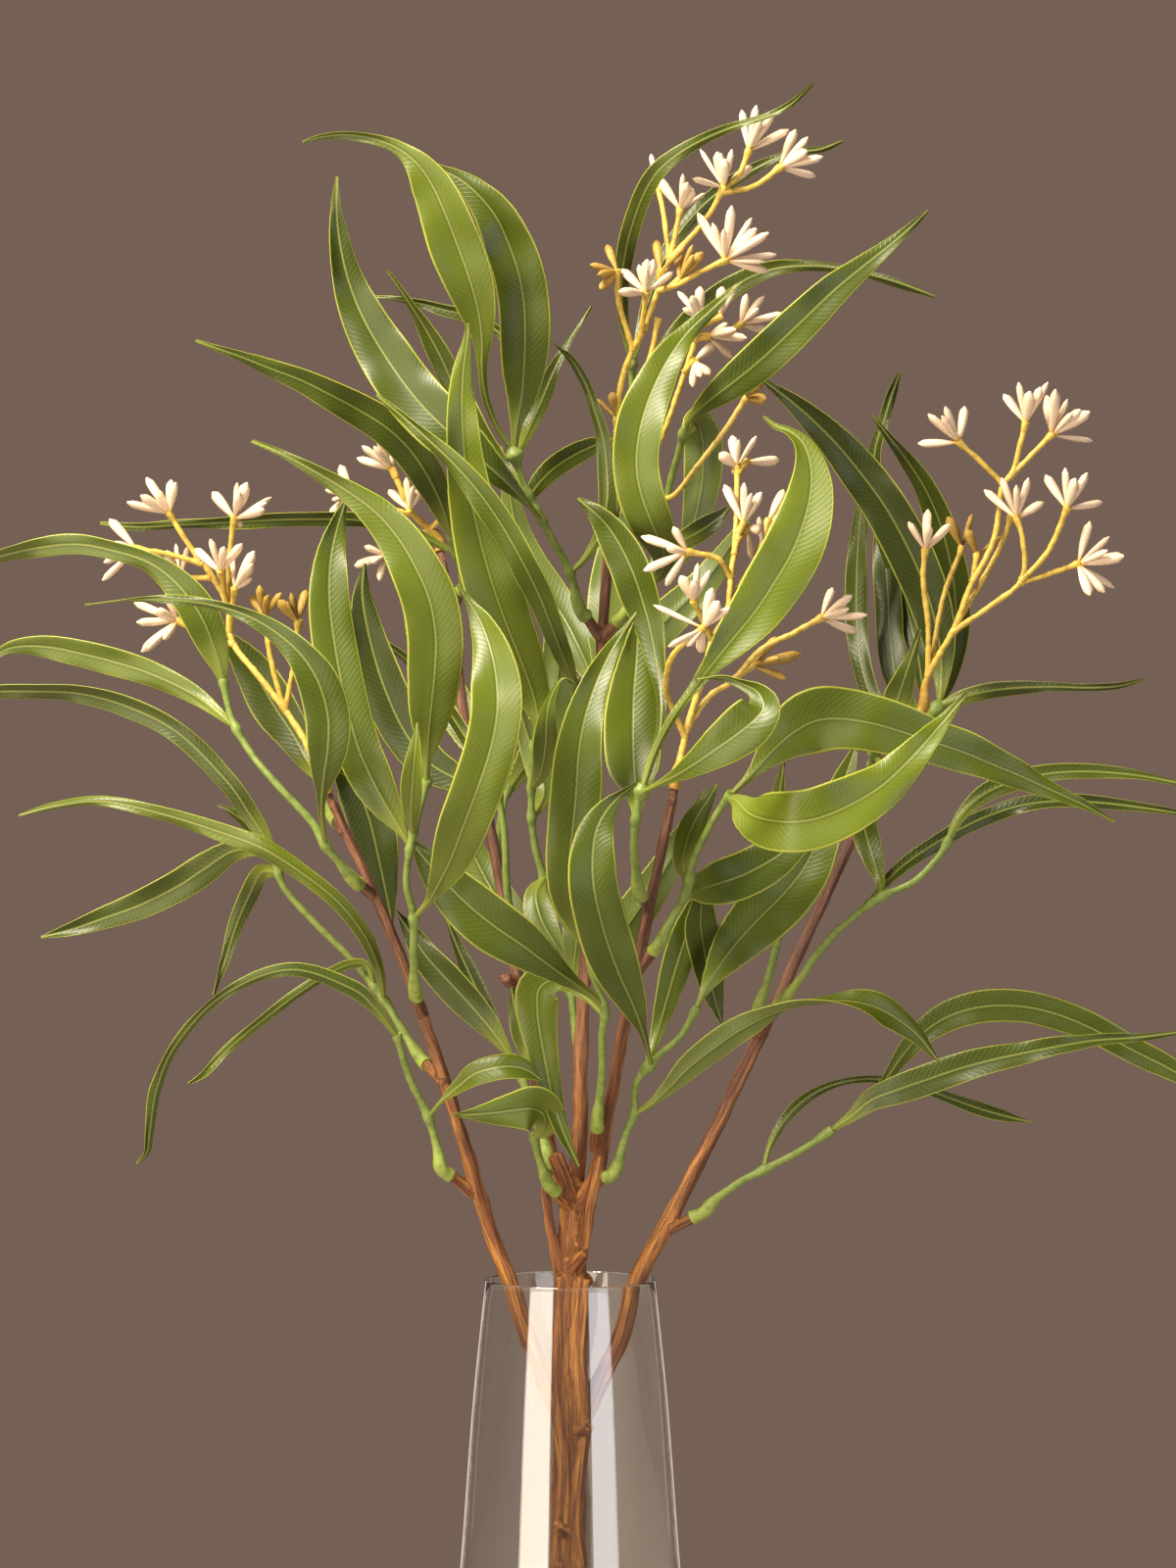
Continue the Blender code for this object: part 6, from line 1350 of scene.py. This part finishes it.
def build_spray(name, plan):
    """One spray: a main stalk, arms, and a bud for each listed tip."""
    route = stalk_route(plan)[1]
    axes = [spline(route)]
    chains = [stalk_chain(route, SPRAY_RADIUS, ARM_RADIUS * 1.1, ())]
    for number, item in enumerate(plan["parts"]):
        arm = [seen(*p) for p in item["points"]]
        arm[0] = nearest_on(axes, arm[0])
        axes.append(spline(arm))
        chains.append(arm_chain(arm))
        depth = item["points"][-1][2]
        tips = [seen(x, z, depth + BUD_SPREAD * math.sin(2.4 * k + 1))
                for k, (x, z) in enumerate(item["tips"])]
        chains += bunch(arm, tips, float(number in OLD.get(name, ())), number)
    obj = chain_object(name.replace("spray", "buds"), chains)
    grown(obj, SPRAY_TREE, {"Bud": BUD, "Stalk": SPRAY_STALK})
    return outwards(obj)


sprays = {name: build_spray(name, plan) for name, plan in SPRAYS.items()}
print("sprays:", len(sprays), "with", sum(len(o.data.polygons) for o in sprays.values()), "faces")

# %% [markdown]
# ## The branch
#
# The branch is wood that has grown together: a limb doesn't stick out of the trunk, it flows out
# of it. Tubes are swept along the limbs first, and a voxel remesh then melts them into one skin.
# That skin has no idea of limbs any more, so each of its points looks up the nearest limb and
# writes down where it is round and along it. The bark's fibres, in the shape and in the colour,
# follow that. A few thin dead twigs lie along the trunk and melt into it as loose strands of bark
# do.

# %% The tube tree and the branch's lines
def branch_tree():
    """The tree of the branch: a tube along every limb and twig."""
    tree, sockets = node_tree("limbs", (
        ("Sides", "Int", 20), ("Lumps per metre", "Float", 120.0), ("Lump height", "Float", 0.25),
        ("Stalk", "Material", None)))
    return finish_tree(tree, (swept_stalks(tree, sockets["Geometry"], sockets),))


LIMB_STEP = 1.5
# Each stub is a little thicker at its root than at its end
STUB_TAPER, STUB_PARTS = (1.12, -0.2), (0.0, 0.25, 0.5, 0.75, 1.0)
KNOB_STUB_RADIUS = 2.7


def side_of(direction):
    """A direction square to a limb, which turns evenly along all of them."""
    return direction.cross(Vector((0.3, 1, 0.1))).normalized()


def limb_chain(listed):
    """A limb's stations from its listed points and radii."""
    points = [seen(*p[:3]) for p in listed]
    line = spline(points)
    run = lengths(line)
    at = [run[min(k * SPLINE_STEPS, len(run) - 1)] for k in range(len(points))]
    chain = []
    for point, direction, distance in even_stations(line, LIMB_STEP):
        k = max(i for i in range(len(at) - 1) if at[i] <= distance + 1e-6)
        share = (distance - at[k]) / (at[k + 1] - at[k])
        radius = listed[k][3] + (listed[k + 1][3] - listed[k][3]) * share
        side = side_of(direction)
        chain.append(station(point, side, side.cross(direction), (radius, 0, 0),
                             (distance, 0, 0)))
    return chain


def stub_chain(start, end, radius):
    """The stations of a short straight stub."""
    direction = (end - start).normalized()
    side = side_of(direction)
    return [station(start.lerp(end, t), side, side.cross(direction),
                    (radius * (STUB_TAPER[0] + STUB_TAPER[1] * t), 0, 0),
                    ((end - start).length * t, 0, 0)) for t in STUB_PARTS]


limbs = [limb_chain(listed) for listed in (TRUNK, BRANCH_LEFT, BRANCH_RIGHT, BRANCH_CENTRE,
                                           BRANCH_UPRIGHT, BRANCH_REAR, *STRANDS)]
for listed_plans, radius in ((SPRIGS, STUB_RADIUS), (SPRAYS, TIP_STUB_RADIUS)):
    for plan in listed_plans.values():
        start, route = stalk_route(plan)
        limbs.append(stub_chain(start, route[0] + (route[0] - start).normalized() * 2.0, radius))
limbs += [stub_chain(seen(*low), seen(*high), KNOB_STUB_RADIUS) for low, high in KNOBS]
print("branch:", len(limbs), "limbs and twigs")

# %% Melt the limbs together and give the bark its grain
from mathutils import kdtree, noise

BRANCH_VOXEL = 0.8 * MM
# The bark's pattern on one limb is another part of it than on the next
LIMB_SHIFT, NEAREST = 13.0, 6
FIBRE_HEIGHT, KNOT_HEIGHT = 0.55, 0.5


def grain_of(mesh, chains):
    """For each vertex: its place round and along the nearest limb, in millimetres."""
    stations = [(one, number) for number, chain in enumerate(chains) for one in chain]
    tree = kdtree.KDTree(len(stations))
    for k, (one, _) in enumerate(stations):
        tree.insert(one["mid"], k)
    tree.balance()
    grain = []
    for vertex in mesh.vertices:
        found = tree.find_n(vertex.co, NEAREST)
        _, k, _ = min(found, key=lambda hit: hit[2] / stations[hit[1]][0]["size"][0])
        one, number = stations[k]
        away = (vertex.co - one["mid"]) / MM
        across, up = Vector(one["across"]), Vector(one["up"])
        ahead = up.cross(across)
        grain.append(Vector((away.dot(across), away.dot(up) + number * LIMB_SHIFT,
                             one["place"][0] + away.dot(ahead))))
    return grain


def barked(obj, chains):
    """Store the grain and raise fibres and knots on the skin along it."""
    mesh = obj.data
    grain = grain_of(mesh, chains)
    normals = [v.normal.copy() for v in mesh.vertices]
    for vertex, normal, g in zip(mesh.vertices, normals, grain):
        # Fibres and knots are drawn out along the limb, and get finer up the plant
        fibre = noise.noise(Vector((g.x * 0.8, g.y * 0.8, g.z * 0.07)))
        knot = noise.noise(Vector((g.x * 0.16, g.y * 0.16, g.z * 0.11)))
        thick = min(1.0, max(0.35, 1.6 - vertex.co.z / 0.45))
        vertex.co += normal * (FIBRE_HEIGHT * fibre + KNOT_HEIGHT * knot) * thick * MM
    stored = mesh.attributes.new("grain", "FLOAT_VECTOR", "POINT")
    stored.data.foreach_set("vector", [c for g in grain for c in g])
    return obj


branch = chain_object("branch_bark", limbs)
grown(branch, branch_tree(), {"Stalk": BARK},
      extra=(("REMESH", {"mode": "VOXEL", "voxel_size": BRANCH_VOXEL}),
             ("SMOOTH", {"factor": 0.5, "iterations": 4})))
branch.data.materials.clear()
branch.data.materials.append(BARK)
branch.data.shade_smooth()
barked(branch, limbs)
print("branch:", len(branch.data.polygons), "faces")

# %% [markdown]
# ## The vase
#
# Blown or pressed glass is one smooth wall, thick at the bottom, with a fire-polished rim. It is a
# profile turned about the axis. Glass shows every flat facet as a kink in its reflections, so the
# profile is a smooth curve and the turn has many steps. Inside and outside are both real surfaces,
# because light bends at each of them.

# %% The turned glass
VASE_WALL, RIM_WALL, VASE_FLOOR, VASE_CORNER = 2.5, 1.5, 14.0, 44.0
# Height and radius of the outer wall
VASE_PROFILE = ((0, 43), (4, 47.5), (20, 51), (55, 52), (100, 50.8), (150, 47.8), (200, 44),
                (250, 40.2), (300, 35))
VASE_HEIGHT, RIM_RADIUS = VASE_PROFILE[-1]
VASE_STEPS = 160


def turned(name, profile, steps):
    """A closed solid from a profile of radius and height that starts and ends on the axis."""
    bm = bmesh.new()
    rows = []
    for r, z in profile:
        turns = [TAU * k / steps for k in range(steps)] if r > 0.01 else [0.0]
        rows.append([bm.verts.new((r * math.cos(a) * MM, r * math.sin(a) * MM, z * MM))
                     for a in turns])
    for a, b in zip(rows, rows[1:]):
        for i in range(steps):
            j = (i + 1) % steps
            corners = [a[i % len(a)], a[j % len(a)], b[j % len(b)], b[i % len(b)]]
            bm.faces.new(list(dict.fromkeys(corners)))
    mesh = bpy.data.meshes.new(name)
    bm.to_mesh(mesh)
    bm.free()
    return outwards(put(name, mesh))


def vase_profile():
    """Outside from the foot up, a round rim, and inside down to the thick floor."""
    knots = [Vector((r, z, 0)) for z, r in VASE_PROFILE[1:]]
    wall = [(p.x, p.y) for p in spline(knots, 6) if p.y <= VASE_HEIGHT - 1]
    foot = [(0, 1.5), (30, 1.2), (36, 0.4), (40, 0.0), (43.5, 0.2), (46, 1.6)]
    bend = RIM_WALL / 2
    rim = [(RIM_RADIUS - bend + bend * math.cos(a), VASE_HEIGHT - bend + bend * math.sin(a))
           for a in (math.pi * k / 8 for k in range(9))]
    inside = [(r - VASE_WALL + (VASE_WALL - RIM_WALL) * (z / VASE_HEIGHT) ** 2, z)
              for r, z in reversed(wall) if z > VASE_FLOOR + 8]
    floor = [(VASE_CORNER + 3.4, VASE_FLOOR + 6), (VASE_CORNER + 1, VASE_FLOOR + 2.5),
             (VASE_CORNER - 4, VASE_FLOOR + 0.5), (30, VASE_FLOOR), (0, VASE_FLOOR)]
    return foot + wall + rim + inside + floor


vase = turned("vase_glass", vase_profile(), VASE_STEPS)
vase.data.materials.append(GLASS)
print("vase:", len(vase.data.polygons), "faces, rim", RIM_RADIUS * 2, "mm across")

# %% [markdown]
# ## Floor, light and camera
#
# The stage is a plain pale disc, and the room behind has the colour of the plain wall. Two tall
# soft boxes stand left and right of the camera: they give the long bright stripes on the glass and
# the satin sheen on the leaves, and a third one lights the crown from above. Two weak narrow boxes
# behind draw the thin lines at the glass's edges. The camera looks level at the crown from two
# metres, as the photo does.

# %% Stage and soft boxes
floor = turned("floor", [(0, -0.6), (1000, -0.6), (1000, -4), (0, -4)], 96)
floor.data.materials.append(surface("pale_paper", Roughness=0.9, Base_Color=rgb("#b3aba1"))[0])


def soft_box(name, place, target, width, height, power, colour):
    """A rectangular soft light at a place in metres that faces a target."""
    light = bpy.data.lights.new(name, "AREA")
    light.shape = "RECTANGLE"
    light.size, light.size_y = width, height
    light.energy = power
    light.color = rgb(colour)[:3]
    lamp = put(name, light)
    lamp.location = place
    aim = (Vector(target) - Vector(place)).to_track_quat("-Z", "Y")
    lamp.rotation_euler = aim.to_euler()


soft_box("soft_box_left", (-1.25, -1.55, 0.55), (0, 0, 0.45), 1.15, 1.7, 32, "#fff1de")
soft_box("soft_box_right", (1.25, -1.6, 0.6), (0, 0, 0.45), 1.0, 1.7, 15, "#f6f6ff")
soft_box("soft_box_top", (-0.8, -0.75, 1.9), (0, 0, 0.5), 0.7, 0.7, 88, "#fff4e2")
soft_box("rim_box_left", (-0.66, 1.6, 0.35), (0, 0, 0.3), 0.2, 1.4, 0.8, "#fff4ea")
soft_box("rim_box_right", (0.68, 1.6, 0.35), (0, 0, 0.3), 0.2, 1.4, 0.6, "#fff4ea")

world = bpy.data.worlds.new("plain_room")
world.use_nodes = True
background = world.node_tree.nodes["Background"]
background.inputs["Color"].default_value = rgb("#816b5e")
background.inputs["Strength"].default_value = 0.8
bpy.context.scene.world = world
bpy.context.scene.view_settings.view_transform = "Standard"

# %% Camera
# The picture is 0.64 m high at the vase's axis
VIEW_HEIGHT, SENSOR = 0.64, 36.0
camera_data = bpy.data.cameras.new("camera")
camera_data.sensor_width = SENSOR
camera_data.lens = SENSOR * -EYE.y * MM / VIEW_HEIGHT
camera = put("camera", camera_data)
camera.location = EYE * MM
camera.rotation_euler = (math.pi / 2, 0, 0)
bpy.context.scene.camera = camera
print("camera: lens", round(camera_data.lens, 1), "mm")

# %% [markdown]
# ## Hand the pieces to the frame
#
# All pieces stand on the one body of the part. Each takes the place of its CAD node.

# %% Ride, replace and finish
pieces = {"vase": (vase, "glass"), "branch": (branch, "bark")}
pieces.update({name: (obj, "leaf") for name, obj in sprigs.items()})
pieces.update({name: (obj, "buds") for name, obj in sprays.items()})
for name, (piece, slot) in pieces.items():
    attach(piece, "root")
    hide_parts(name)

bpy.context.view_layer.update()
faces = {piece.name: len(piece.data.polygons) for piece, _ in pieces.values()}
largest = max(faces, key=faces.get)
print("faces in all:", sum(faces.values()), "largest:", largest, faces[largest])
